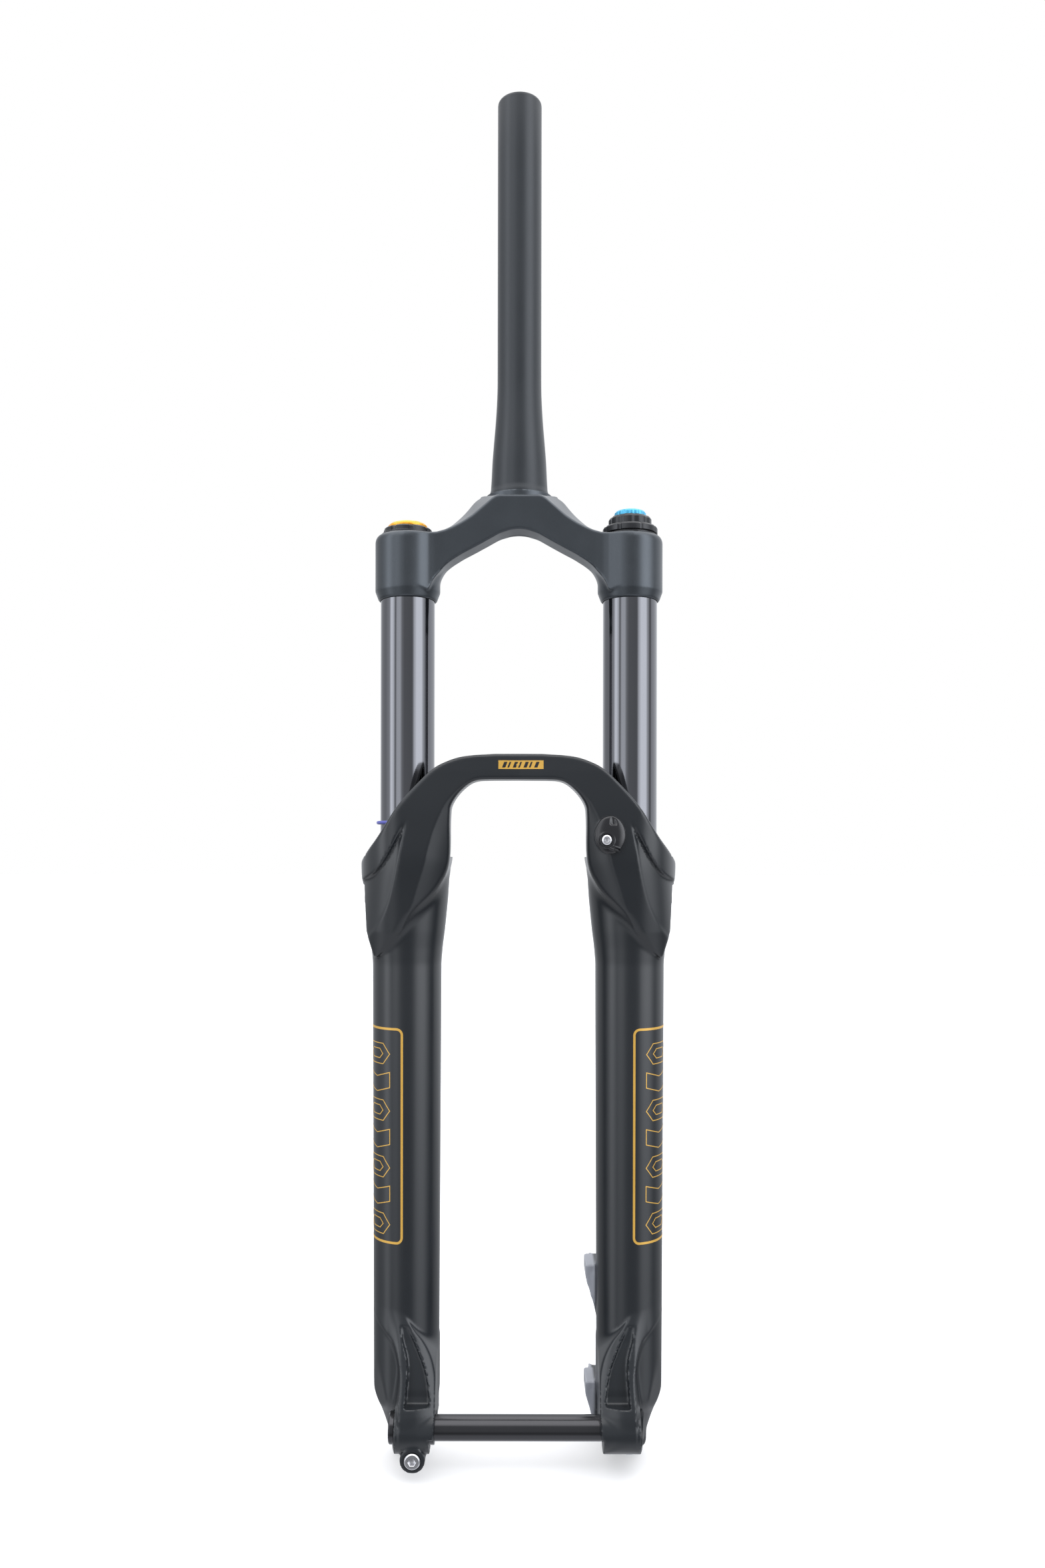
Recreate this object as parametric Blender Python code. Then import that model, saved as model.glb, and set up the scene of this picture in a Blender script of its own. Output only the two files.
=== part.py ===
"""Single-crown mountain-bike air suspension fork, built as separate pieces.

Frame: metres, +Z up along the steerer. The origin is on the steerer axis in the plane of the
crown-race shoulder. -Y is the riding direction (the fork's front), +X is the disc-brake side.
Dimensions below are in millimetres and are turned into metres when the meshes are made.
"""
import math

import bmesh
import bpy
from mathutils import Matrix, Vector

MM = 0.001
GAP = 0.3                 # clearance kept between separate pieces
SEG = 24                  # sides of the large round pieces; pieces that run in each other share it

# steerer, tapered 1 1/8" to 1 1/2"
STEERER_TOP = 258.5
STEERER_R = 14.3
STEERER_BORE_R = 12.0
STEERER_LOW_R = 18.6
RACE_SEAT_R = 19.9
RACE_SEAT_H = 4.5

# crown
CLAMP_X = 70.2            # half of the 140.4 mm stanchion spacing
CLAMP_Y = -26.0           # stanchion axes lie in front of the steerer axis
CLAMP_R = 20.4
CLAMP_TOP = -32.0
CLAMP_BOTTOM = -73.0
BOSS_R = 27.0

# stanchions, 34 mm
STANCHION_R = 17.0
STANCHION_BORE_R = 15.4
STANCHION_TOP = -33.0
STANCHION_BOTTOM = -402.0

# lower casting
TRAVEL = 160.0
COLLAR_TOP = -241.5
COLLAR_R = 25.0
LEG_R_TOP = 21.5
LEG_R_LOW = 20.5
LEG_BORE_R = 19.2
LEG_FLOOR = -566.0
FOOT_R = 11.0
FOOT_BOTTOM = -603.0
WIPER_TOP = -237.5
ARCH_FRONT = -66.5
ARCH_BACK = -47.4

# axle, 15 x 100
AXLE_Y = -51.0
AXLE_Z = -582.0
AXLE_R = 7.5
HUB_HALF = 50.0
LUG_R = 14.0
PINCH_X = -63.0
PINCH_Z = -595.4
PINCH_BOSS_R = 7.6

# post mounts for the disc brake, 74.2 mm apart
POST_X = 51.5
POST_FACE_Y = 12.0
POST_Z_UP = -505.5
POST_SPACING = 74.2
POST_HALF = 8.5

RING_Z = -212.5           # travel indicator ring

for old in list(bpy.data.objects):
    bpy.data.objects.remove(old, do_unlink=True)


def material(name, rgb, roughness, metallic):
    m = bpy.data.materials.get(name) or bpy.data.materials.new(name)
    m.use_nodes = True
    p = m.node_tree.nodes["Principled BSDF"]
    p.inputs["Base Color"].default_value = (rgb[0], rgb[1], rgb[2], 1.0)
    p.inputs["Roughness"].default_value = roughness
    p.inputs["Metallic"].default_value = metallic
    m.diffuse_color = (rgb[0], rgb[1], rgb[2], 1.0)
    return m


FINISH = {
    "crown_black": ((0.060, 0.065, 0.072), 0.42, 0.6),
    "casting_black": ((0.030, 0.032, 0.036), 0.45, 0.1),
    "stanchion_black": ((0.015, 0.014, 0.016), 0.12, 0.8),
    "anodised_black": ((0.020, 0.020, 0.022), 0.30, 0.7),
    "gold_anodised": ((0.92, 0.42, 0.02), 0.30, 0.7),
    "blue_anodised": ((0.08, 0.45, 0.70), 0.30, 0.6),
    "steel": ((0.62, 0.62, 0.63), 0.25, 1.0),
    "raw_aluminium": ((0.55, 0.56, 0.58), 0.35, 1.0),
    "rubber_black": ((0.012, 0.012, 0.012), 0.70, 0.0),
    "foam_black": ((0.04, 0.04, 0.04), 0.95, 0.0),
    "ring_blue": ((0.10, 0.11, 0.42), 0.45, 0.0),
    "bushing": ((0.32, 0.27, 0.20), 0.55, 0.5),
    "bumper": ((0.55, 0.50, 0.12), 0.60, 0.0),
}


def make(name, bm, finish, at=(0, 0, 0), sharp=35):
    """Turns a bmesh in millimetres into a named object whose origin is at `at` (millimetres)."""
    bmesh.ops.recalc_face_normals(bm, faces=bm.faces)
    bmesh.ops.scale(bm, vec=(MM, MM, MM), verts=bm.verts)
    me = bpy.data.meshes.new(name)
    bm.to_mesh(me)
    bm.free()
    ob = bpy.data.objects.new(name, me)
    bpy.context.scene.collection.objects.link(ob)
    ob.location = [c * MM for c in at]
    if finish:
        rgb, rough, metal = FINISH[finish]
        me.materials.append(material(finish, rgb, rough, metal))
    me.shade_smooth()
    me.set_sharp_from_angle(angle=math.radians(sharp))
    return ob


def turned(profile, seg=SEG, phase=0.0, axis="Z"):
    """A closed profile of (radius, height) points spun about an axis. A point of radius 0 is on the axis."""
    bm = bmesh.new()
    rings = []
    for r, z in profile:
        if r < 1e-6:
            rings.append([bm.verts.new((0, 0, z))])
        else:
            rings.append([bm.verts.new((r * math.cos(2 * math.pi * (i + phase) / seg),
                                        r * math.sin(2 * math.pi * (i + phase) / seg), z))
                          for i in range(seg)])
    n = len(profile)
    for k in range(n):
        a, b = rings[k], rings[(k + 1) % n]
        if len(a) == 1 and len(b) == 1:
            continue
        for i in range(seg):
            j = (i + 1) % seg
            if len(a) == 1:
                bm.faces.new((a[0], b[j], b[i]))
            elif len(b) == 1:
                bm.faces.new((a[i], a[j], b[0]))
            else:
                bm.faces.new((a[i], a[j], b[j], b[i]))
    turn(bm, axis)
    return bm


def turn(bm, axis):
    if axis == "X":
        bmesh.ops.rotate(bm, verts=bm.verts, cent=(0, 0, 0), matrix=Matrix.Rotation(math.radians(90), 3, "Y"))
    elif axis == "Y":
        bmesh.ops.rotate(bm, verts=bm.verts, cent=(0, 0, 0), matrix=Matrix.Rotation(math.radians(-90), 3, "X"))
    return bm


def rod(r, lo, hi, seg=16, phase=0.0, axis="Z"):
    return turned([(0, lo), (r, lo), (r, hi), (0, hi)], seg, phase, axis)


def ring(r_in, r_out, lo, hi, seg=SEG, chamfer=0.0, phase=0.0):
    c = chamfer
    if c:
        return turned([(r_in, lo), (r_out - c, lo), (r_out, lo + c), (r_out, hi - c), (r_out - c, hi), (r_in, hi)], seg, phase)
    return turned([(r_in, lo), (r_out, lo), (r_out, hi), (r_in, hi)], seg, phase)


def loft_y(front, back, y_front, y_back):
    """Two outlines of (x, z) points with the same count, joined as a solid along Y. y may be a number or a function of (x, z)."""
    bm = bmesh.new()
    fy = y_front if callable(y_front) else (lambda x, z: y_front)
    by = y_back if callable(y_back) else (lambda x, z: y_back)
    a = [bm.verts.new((x, fy(x, z), z)) for x, z in front]
    b = [bm.verts.new((x, by(x, z), z)) for x, z in back]
    n = len(a)
    for i in range(n):
        j = (i + 1) % n
        bm.faces.new((a[i], a[j], b[j], b[i]))
    caps = [bm.faces.new(a), bm.faces.new(list(reversed(b)))]
    bmesh.ops.triangulate(bm, faces=caps)
    return bm


def prism_z(outline, lo, hi):
    bm = bmesh.new()
    a = [bm.verts.new((x, y, lo)) for x, y in outline]
    b = [bm.verts.new((x, y, hi)) for x, y in outline]
    n = len(a)
    for i in range(n):
        j = (i + 1) % n
        bm.faces.new((a[i], a[j], b[j], b[i]))
    caps = [bm.faces.new(a), bm.faces.new(list(reversed(b)))]
    bmesh.ops.triangulate(bm, faces=caps)
    return bm


def block(x0, x1, y0, y1, z0, z1):
    bm = bmesh.new()
    bmesh.ops.create_cube(bm, size=1.0)
    bmesh.ops.scale(bm, vec=(x1 - x0, y1 - y0, z1 - z0), verts=bm.verts)
    bmesh.ops.translate(bm, vec=((x0 + x1) / 2, (y0 + y1) / 2, (z0 + z1) / 2), verts=bm.verts)
    return bm


def combine(ob, bm, how, at=(0, 0, 0), solver="EXACT"):
    """Boolean of ob with a tool bmesh, applied to ob's own mesh. Both are triangles, so that no face is warped."""
    bmesh.ops.triangulate(bm, faces=bm.faces)
    flat = bmesh.new()
    flat.from_mesh(ob.data)
    bmesh.ops.triangulate(flat, faces=flat.faces)
    flat.to_mesh(ob.data)
    flat.free()
    tool = make("tool", bm, None, at)
    mod = ob.modifiers.new("cut", "BOOLEAN")
    mod.operation = how
    mod.solver = solver
    mod.object = tool
    dg = bpy.context.evaluated_depsgraph_get()
    dg.update()
    me = bpy.data.meshes.new_from_object(ob.evaluated_get(dg))
    ob.modifiers.clear()
    old = ob.data
    ob.data = me
    me.name = old.name if not old.users else me.name
    bpy.data.meshes.remove(old)
    tool_mesh = tool.data
    bpy.data.objects.remove(tool, do_unlink=True)
    bpy.data.meshes.remove(tool_mesh)
    return ob


def tidy(ob, sharp=35, merge=0.02):
    """Drops slivers left by the booleans and sets the shading."""
    bm = bmesh.new()
    bm.from_mesh(ob.data)
    bmesh.ops.remove_doubles(bm, verts=bm.verts, dist=merge * MM)
    bmesh.ops.dissolve_degenerate(bm, dist=merge * MM, edges=bm.edges)
    bmesh.ops.dissolve_limit(bm, angle_limit=math.radians(0.6), verts=bm.verts, edges=bm.edges)
    bmesh.ops.triangulate(bm, faces=bm.faces)
    bm.to_mesh(ob.data)
    bm.free()
    ob.data.shade_smooth()
    ob.data.set_sharp_from_angle(angle=math.radians(sharp))
    return ob


def mirrored(right):
    """A full outline from its +X half, listed from the centre line outwards."""
    return right + [(-x, z) for x, z in reversed(right) if abs(x) > 1e-6]


def frame(name, at):
    e = bpy.data.objects.new(name, None)
    e.empty_display_size = 0.02
    bpy.context.scene.collection.objects.link(e)
    e.location = [c * MM for c in at]
    return e


def hang(ob, parent):
    """Parents ob to an empty and keeps its place."""
    ob.parent = parent
    ob.location = ob.location - parent.location
    return ob


AIR = (-CLAMP_X, CLAMP_Y, 0)
DAMP = (CLAMP_X, CLAMP_Y, 0)

# ---------------------------------------------------------------- steerer
steerer = make("steerer_tube", turned([
    (15.2, -30.0), (STEERER_LOW_R, -30.0), (STEERER_LOW_R, GAP), (RACE_SEAT_R, GAP), (RACE_SEAT_R, RACE_SEAT_H),
    (STEERER_LOW_R, RACE_SEAT_H + 0.8), (17.7, 21.5), (16.0, 42.0), (STEERER_R, 72.0),
    (STEERER_R, STEERER_TOP - 0.6), (STEERER_R - 0.6, STEERER_TOP), (STEERER_BORE_R, STEERER_TOP),
    (STEERER_BORE_R, 62.0), (15.2, 10.0)], SEG), "crown_black")

# ---------------------------------------------------------------- crown
# front-view outlines of the bridge (half): top edge from the middle outwards, then the underside back in
top_front = [(0, -9.7), (13, -12.4), (18, -14.2), (24.5, -18.0), (32.5, -23.8), (41, -28.4), (51, -32.6), (70, -34.0)]
top_back = [(0, -0.6), (13, -0.6), (20, -1.6), (26.5, -4.6), (31, -9.4), (38.4, -17.2), (51, -30.0), (70, -34.0)]
under = [(70, -64.0), (53.0, -64.0), (49.9, -59.0), (47.4, -54.4), (42.0, -50.2), (35, -46.0), (27, -41.8), (19, -37.4), (12, -33.4), (5, -31.2), (0, -30.6)]


def outline(top):
    half = top + under
    left = [(-x, z) for x, z in reversed(half) if abs(x) > 1e-6]
    return half + left


def loft(levels):
    """Outlines of (x, z) points with the same count, each with its own function of y, joined in order."""
    bm = bmesh.new()
    rows = [[bm.verts.new((x, f(x, z), z)) for x, z in pts] for pts, f in levels]
    n = len(rows[0])
    for a, b in zip(rows, rows[1:]):
        for i in range(n):
            j = (i + 1) % n
            bm.faces.new((a[i], a[j], b[j], b[i]))
    caps = [bm.faces.new(rows[0]), bm.faces.new(list(reversed(rows[-1])))]
    bmesh.ops.triangulate(bm, faces=caps)
    return bm


def bridge_front(x, z):
    return -41.0 - 4.6 * min(1.0, abs(x) / 62.0) ** 2


crown = make("crown", loft([(outline(top_front), bridge_front), (outline(top_back), lambda x, z: -14.0), (outline(top_back), lambda x, z: 34.0)]), "crown_black")
# plan shape: the arms narrow from the boss to the clamps
arms = [(0, -60), (88, -60), (88, -12), (74, -9), (30, 9), (22, 22), (-22, 22), (-30, 9), (-74, -9), (-88, -12), (-88, -60)]
combine(crown, prism_z(arms, -90, 20), "INTERSECT")
combine(crown, turned([(0, -29.8), (23.5, -29.8), (27.0, -26.0), (28.4, -14.0), (27.4, -5.0), (BOSS_R - 2.5, 0.0), (0, 0.0)], SEG), "UNION")
for sx in (-1, 1):
    combine(crown, turned([(0, CLAMP_BOTTOM), (18.6, CLAMP_BOTTOM), (CLAMP_R - 0.6, -70.5), (CLAMP_R, -66.0), (CLAMP_R, CLAMP_TOP - 1.0),
                           (CLAMP_R - 1.0, CLAMP_TOP), (0, CLAMP_TOP)], SEG), "UNION", (sx * CLAMP_X, CLAMP_Y, 0))
for sx in (-1, 1):
    combine(crown, rod(STANCHION_R + GAP, CLAMP_BOTTOM - 5, CLAMP_TOP + 12, SEG), "DIFFERENCE", (sx * CLAMP_X, CLAMP_Y, 0))
    combine(crown, rod(STANCHION_R + 1.4, CLAMP_TOP - 0.4, CLAMP_TOP + 25, SEG), "DIFFERENCE", (sx * CLAMP_X, CLAMP_Y, 0))
combine(crown, rod(STEERER_LOW_R + GAP, -60, 20, SEG), "DIFFERENCE")
# the race seat stands in a shallow counterbore, so the crown's top face is clear for the crown race
combine(crown, rod(RACE_SEAT_R + GAP, -0.8, 25, SEG), "DIFFERENCE")
tidy(crown)

# ---------------------------------------------------------------- stanchions
for name, at in (("stanchion_air", AIR), ("stanchion_damper", DAMP)):
    make(name, turned([(STANCHION_BORE_R, STANCHION_BOTTOM), (STANCHION_R - 0.8, STANCHION_BOTTOM), (STANCHION_R, STANCHION_BOTTOM + 1.5),
                       (STANCHION_R, STANCHION_TOP), (STANCHION_BORE_R, STANCHION_TOP)], SEG), "stanchion_black", at)

# ---------------------------------------------------------------- air side, inside and on top
make("air_top_cap", turned([
    (4.4, -50.0), (STANCHION_BORE_R - GAP, -50.0), (STANCHION_BORE_R - GAP, -32.7), (16.6, -32.7), (16.6, -31.4),
    (13.6, -31.2), (13.6, -29.2), (13.0, -28.9), (4.4, -28.9)], 16), "anodised_black", AIR)
make("air_valve", turned([(0, -46.0), (4.1, -46.0), (4.1, -27.6), (3.4, -26.4), (0, -26.4)], 16), "steel", AIR)
gold = make("air_cap", turned([(0, -26.0), (4.6, -26.0), (4.6, -28.6), (12.0, -28.6), (12.6, -28.0), (12.4, -25.2), (10.5, -24.3), (0, -24.1)], 20), "gold_anodised", AIR)
combine(gold, block(-7.5, 7.5, -1.6, 1.6, -25.0, -22.8), "UNION", AIR)
make("air_seal_head", ring(5.3, STANCHION_BORE_R - GAP, -400.5, -387.0, 16), "anodised_black", AIR)
make("air_shaft", turned([(0, -589.5), (4.7, -589.5), (4.7, LEG_FLOOR + GAP), (5.0, LEG_FLOOR + GAP + 0.3), (5.0, -372.3), (0, -372.3)], 12), "raw_aluminium", AIR)
make("air_piston", turned([(0, -372.0), (14.6, -372.0), (15.1, -371.0), (15.1, -358.0), (14.0, -356.5), (6.0, -356.5), (6.0, -362.0), (0, -362.0)], 16), "anodised_black", AIR)
make("top_out_bumper", ring(5.3, 11.0, -386.5, -372.6, 16), "bumper", AIR)
make("bottom_out_bumper", ring(5.3, 13.0, LEG_FLOOR + GAP, -562.7, 16), "bumper", AIR)
make("air_foot_bolt", turned([(0, -607.0), (2.9, -607.0), (2.9, -602.6), (3.0, -602.6), (3.0, -607.6), (7.8, -607.6), (8.2, -607.2), (8.2, -603.6),
                              (5.0, -603.6), (5.0, -589.8), (0, -589.8)], 12), "anodised_black", AIR)

# ---------------------------------------------------------------- damper side, inside and on top
make("damper_top_cap", turned([
    (6.7, -50.0), (STANCHION_BORE_R - GAP, -50.0), (STANCHION_BORE_R - GAP, -32.7), (16.6, -32.7), (16.6, -31.6), (15.6, -31.4), (15.6, -30.8),
    (17.3, -30.6), (17.3, -27.2), (16.6, -26.2), (6.7, -26.2)], 20), "anodised_black", DAMP)
make("high_speed_dial", turned([
    (3.5, -44.0), (6.3, -44.0), (6.3, -25.9), (13.6, -25.9), (13.6, -21.4), (12.4, -19.9), (3.5, -19.9)], 12, 0.5), "anodised_black", DAMP)
make("low_speed_knob", turned([(0, -48.0), (3.1, -48.0), (3.1, -19.6), (9.6, -19.6), (10.1, -19.1), (9.9, -17.0), (8.6, -15.8), (0, -15.6)], 20), "blue_anodised", DAMP)
make("damper_cartridge_tube", ring(11.8, 13.0, -386.6, -50.3, 16), "raw_aluminium", DAMP)
make("compression_valve", turned([(0, -86.0), (11.4, -86.0), (11.4, -74.0), (5.0, -74.0), (5.0, -50.6), (0, -50.6)], 12), "anodised_black", DAMP)
make("damper_seal_head", ring(5.3, STANCHION_BORE_R - GAP, -400.5, -387.0, 16), "anodised_black", DAMP)
make("damper_rod", ring(2.3, 5.0, -589.5, -372.3, 12), "steel", DAMP)
make("damper_piston", turned([(2.3, -372.0), (11.0, -372.0), (11.5, -371.4), (11.5, -361.0), (11.0, -360.4), (2.3, -360.4)], 12), "anodised_black", DAMP)
make("damper_foot_nut", ring(5.3, 8.2, -606.5, -603.4, 12, 0.0), "anodised_black", DAMP)
make("rebound_needle", rod(1.9, -602.0, -364.0, 8), "steel", DAMP)
make("rebound_knob", turned([(0, -609.6), (4.6, -609.6), (5.0, -609.2), (5.0, -606.9), (4.8, -606.9), (4.8, -602.4), (0, -602.4)], 12), "raw_aluminium", DAMP)

# ---------------------------------------------------------------- travel ring
ring_pts = [(STANCHION_R + GAP + 1.1 + 1.1 * math.cos(a), 1.1 * math.sin(a)) for a in [2 * math.pi * (k + 0.5) / 6 for k in range(6)]]
make("travel_ring", turned(ring_pts, SEG), "ring_blue", (-CLAMP_X, CLAMP_Y, RING_Z))

# ---------------------------------------------------------------- lower casting
legs = [(0, FOOT_BOTTOM), (FOOT_R - 1.0, FOOT_BOTTOM), (FOOT_R, FOOT_BOTTOM + 1.5), (FOOT_R, -594.0), (14.2, -583.7), (18.6, -574.5), (LEG_R_LOW, -569.0),
        (20.9, -460.0), (LEG_R_TOP, -330.0), (LEG_R_TOP, -300.0), (23.5, -275.0), (COLLAR_R, -255.0), (COLLAR_R, COLLAR_TOP - 1.0), (COLLAR_R - 1.0, COLLAR_TOP), (0, COLLAR_TOP)]
casting = make("lower_casting", turned(legs, SEG), "casting_black", (-CLAMP_X, CLAMP_Y, 0))
casting.data.transform(Matrix.Translation((-CLAMP_X * MM, CLAMP_Y * MM, 0)))
casting.location = (0, 0, 0)
combine(casting, turned(legs, SEG), "UNION", (CLAMP_X, CLAMP_Y, 0))

# arch and shoulders: one band swept from the left leg over the wheel to the right leg.
# Each station: outer edge (x, z), inner edge (x, z), then y of the front face at the outer edge, middle and inner edge, and y of the back.
stations = [
    ((0, -171.6), (0, -187.0), -65.4, -66.9, -65.8, -46.6),
    ((14, -171.7), (11, -187.0), -65.4, -66.9, -65.8, -46.6),
    ((26, -172.4), (21, -187.8), -65.4, -66.9, -65.8, -46.6),
    ((35, -173.8), (26, -189.3), -65.4, -66.9, -65.8, -46.6),
    ((43, -176.4), (30.5, -191.4), -65.2, -66.9, -65.6, -46.6),
    ((50.5, -181.0), (35.5, -196.0), -64.8, -66.9, -65.2, -46.6),
    ((59, -188.0), (39, -203.0), -63.8, -66.8, -64.6, -46.6),
    ((71, -201.0), (41, -212.0), -61.5, -66.6, -63.8, -46.6),
    ((84, -218.0), (41.8, -222.0), -57.5, -66.2, -62.5, -46.6),
    ((92, -228.0), (42.2, -234.5), -54.0, -65.4, -61.0, -24.0),
    ((97.8, -236.0), (42.6, -243.0), -47.0, -64.0, -59.6, -24.0),
    ((97.6, -247.0), (43.2, -254.0), -46.0, -62.0, -57.6, -24.0),
    ((96.6, -262.0), (44.4, -267.0), -44.0, -59.2, -54.6, -24.0),
    ((94.6, -278.0), (46.6, -282.0), -41.5, -55.2, -50.0, -24.0),
    ((92.2, -292.0), (49.4, -294.0), -38.0, -50.6, -44.5, -24.0),
    ((87.5, -305.0), (53.0, -305.0), -34.0, -46.2, -36.0, -24.0),
]


def band(rows):
    bm = bmesh.new()
    sections = []
    full = [(r, -1) for r in reversed(rows[1:])] + [(r, 1) for r in rows]
    for (o, i, yo, ym, yi, yb), sx in full:
        mx, mz = (o[0] + i[0]) / 2, (o[1] + i[1]) / 2
        sections.append([bm.verts.new((sx * x, y, z)) for x, y, z in
                         ((o[0], yb, o[1]), (o[0], yo, o[1]), (mx, ym, mz), (i[0], yi, i[1]), (i[0], yb, i[1]))])
    for a, b in zip(sections, sections[1:]):
        for k in range(5):
            m = (k + 1) % 5
            bm.faces.new((a[k], a[m], b[m], b[k]))
    bm.faces.new(sections[0])
    bm.faces.new(list(reversed(sections[-1])))
    return bm


# dropouts: a block from the foot of each leg forward to the axle
for sx in (-1, 1):
    side = [(-12.0, -560.0), (-46.0, -468.0), (-52.0, -515.0), (-60.0, -548.0), (-64.5, -566.0), (-65.0, -584.0), (-62.8, -590.5), (-57.5, -594.6), (-34.0, -596.6), (-20.0, -592.0)]
    bm = bmesh.new()
    a = [bm.verts.new((sx * 53.0, y, z)) for y, z in side]
    b = [bm.verts.new((sx * 74.5, y, z)) for y, z in side]
    for i in range(len(side)):
        j = (i + 1) % len(side)
        bm.faces.new((a[i], a[j], b[j], b[i]))
    bmesh.ops.triangulate(bm, faces=[bm.faces.new(a), bm.faces.new(list(reversed(b)))])
    combine(casting, bm, "UNION", solver="MANIFOLD")
    combine(casting, rod(LUG_R, min(sx * 50.0, sx * 76.5), max(sx * 50.0, sx * 76.5), 20, 0.5, "X"), "UNION", (0, AXLE_Y, AXLE_Z))
    # front pocket of the dropout
    combine(casting, block(min(sx * 57.0, sx * 70.5), max(sx * 57.0, sx * 70.5), -80, -58.5, -569.0, -531.0), "DIFFERENCE")
combine(casting, band(stations), "UNION")
# pinch boss under the air-side dropout
combine(casting, rod(PINCH_BOSS_R, -64.5, -38.0, 16, 0.5, "Y"), "UNION", (PINCH_X, 0, PINCH_Z))
# post mounts on the damper side
for zc in (POST_Z_UP, POST_Z_UP - POST_SPACING):
    web = [(POST_X - POST_HALF, 0.0), (POST_X - POST_HALF, POST_FACE_Y), (POST_X + POST_HALF, POST_FACE_Y), (76.0, -10.0), (76.0, -22.0), (POST_X, -24.0)]
    combine(casting, prism_z(web, zc - POST_HALF, zc + POST_HALF), "UNION")
rib = [(56.0, -16.0), (56.0, -1.0), (63.0, -1.0), (66.0, -16.0)]
combine(casting, prism_z(rib, POST_Z_UP - POST_SPACING, POST_Z_UP), "UNION")
# bores for the stanchions, with a counterbore for the seal at the top, and the foot's bolt hole
for sx in (-1, 1):
    bore = [(0, FOOT_BOTTOM - 10), (5.4, FOOT_BOTTOM - 10), (5.4, LEG_FLOOR), (LEG_BORE_R, LEG_FLOOR), (LEG_BORE_R, -256.6), (22.5, -256.6), (22.5, COLLAR_TOP - 0.4), (24.0, COLLAR_TOP - 0.4), (24.0, -230.0), (0, -230.0)]
    combine(casting, turned(bore, SEG), "DIFFERENCE", (sx * CLAMP_X, CLAMP_Y, 0))
# clearance behind the arch for the crown at full travel
combine(casting, block(-110, 110, ARCH_BACK, 30, -233.4, -150), "DIFFERENCE")
# axle holes: a wide one for the sleeve on the air side, a stepped one for the threaded insert on the damper side
combine(casting, rod(9.8, -90, -40, 20, 0.5, "X"), "DIFFERENCE", (0, AXLE_Y, AXLE_Z))
combine(casting, rod(7.9, 40, 60, 20, 0.5, "X"), "DIFFERENCE", (0, AXLE_Y, AXLE_Z))
combine(casting, rod(10.6, 56, 90, 20, 0.5, "X"), "DIFFERENCE", (0, AXLE_Y, AXLE_Z))
# pinch slot and bolt hole
combine(casting, block(-90, -40, AXLE_Y - 0.8, AXLE_Y + 0.8, -620, AXLE_Z), "DIFFERENCE")
combine(casting, rod(2.9, -80, -20, 16, 0.5, "Y"), "DIFFERENCE", (PINCH_X, 0, PINCH_Z))
combine(casting, rod(5.0, -80, -61.5, 16, 0.5, "Y"), "DIFFERENCE", (PINCH_X, 0, PINCH_Z))
# brake bolt holes
for zc in (POST_Z_UP, POST_Z_UP - POST_SPACING):
    combine(casting, rod(2.6, POST_FACE_Y - 15, POST_FACE_Y + 10, 12, 0.5, "Y"), "DIFFERENCE", (POST_X, 0, zc))
# hose guide's screw hole
combine(casting, rod(1.9, -80, -52, 12, 0.5, "Y"), "DIFFERENCE", (52.6, 0, -223.4))
tidy(casting)

# ---------------------------------------------------------------- seals and bushings in the casting
for side, at in (("air", AIR), ("damper", DAMP)):
    make(f"wiper_seal_{side}", turned([
        (STANCHION_R + GAP + 0.6, -252.4), (22.1, -252.4), (22.1, COLLAR_TOP + GAP), (23.4, COLLAR_TOP + GAP), (23.4, COLLAR_TOP + 1.6), (20.5, COLLAR_TOP + 2.6),
        (18.6, WIPER_TOP), (STANCHION_R + GAP, WIPER_TOP)], SEG), "rubber_black", at)
    make(f"foam_ring_{side}", ring(STANCHION_R + GAP, 22.1, -256.2, -252.8, SEG), "foam_black", at)
    make(f"upper_bushing_{side}", ring(STANCHION_R + GAP, LEG_BORE_R - GAP, -277.0, -258.0, SEG), "bushing", at)
    make(f"lower_bushing_{side}", ring(STANCHION_R + GAP, LEG_BORE_R - GAP, -384.0, -362.0, SEG), "bushing", at)

# ---------------------------------------------------------------- hose guide on the damper-side shoulder
guide = bmesh.new()
cx, cz, rx, rz = 54.8, -220.4, 9.2, 11.4


def guide_layer(k, y):
    return [guide.verts.new((cx + k * rx * math.cos(2 * math.pi * i / 16), y, cz + k * rz * math.sin(2 * math.pi * i / 16))) for i in range(16)]


layers = [guide_layer(1.0, -66.9), guide_layer(1.0, -68.2), guide_layer(0.78, -70.0)]
for a, b in zip(layers, layers[1:]):
    for i in range(16):
        j = (i + 1) % 16
        guide.faces.new((a[i], a[j], b[j], b[i]))
guide.faces.new(layers[0])
guide.faces.new(list(reversed(layers[-1])))
hose_guide = make("hose_guide", guide, "anodised_black")
combine(hose_guide, rod(2.0, -90, -60, 12, 0.5, "Y"), "DIFFERENCE", (52.6, 0, -223.4))
combine(hose_guide, rod(3.6, -90, -69.0, 16, 0.5, "Y"), "DIFFERENCE", (52.6, 0, -223.4))
tidy(hose_guide)
make("hose_guide_screw", turned([(0, -54.0), (1.6, -54.0), (1.6, -69.3), (3.1, -69.3), (3.1, -70.8), (1.6, -71.2), (1.6, -70.2), (0, -70.2)], 12, 0.0, "Y"), "steel", (52.6, 0, -223.4))

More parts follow.
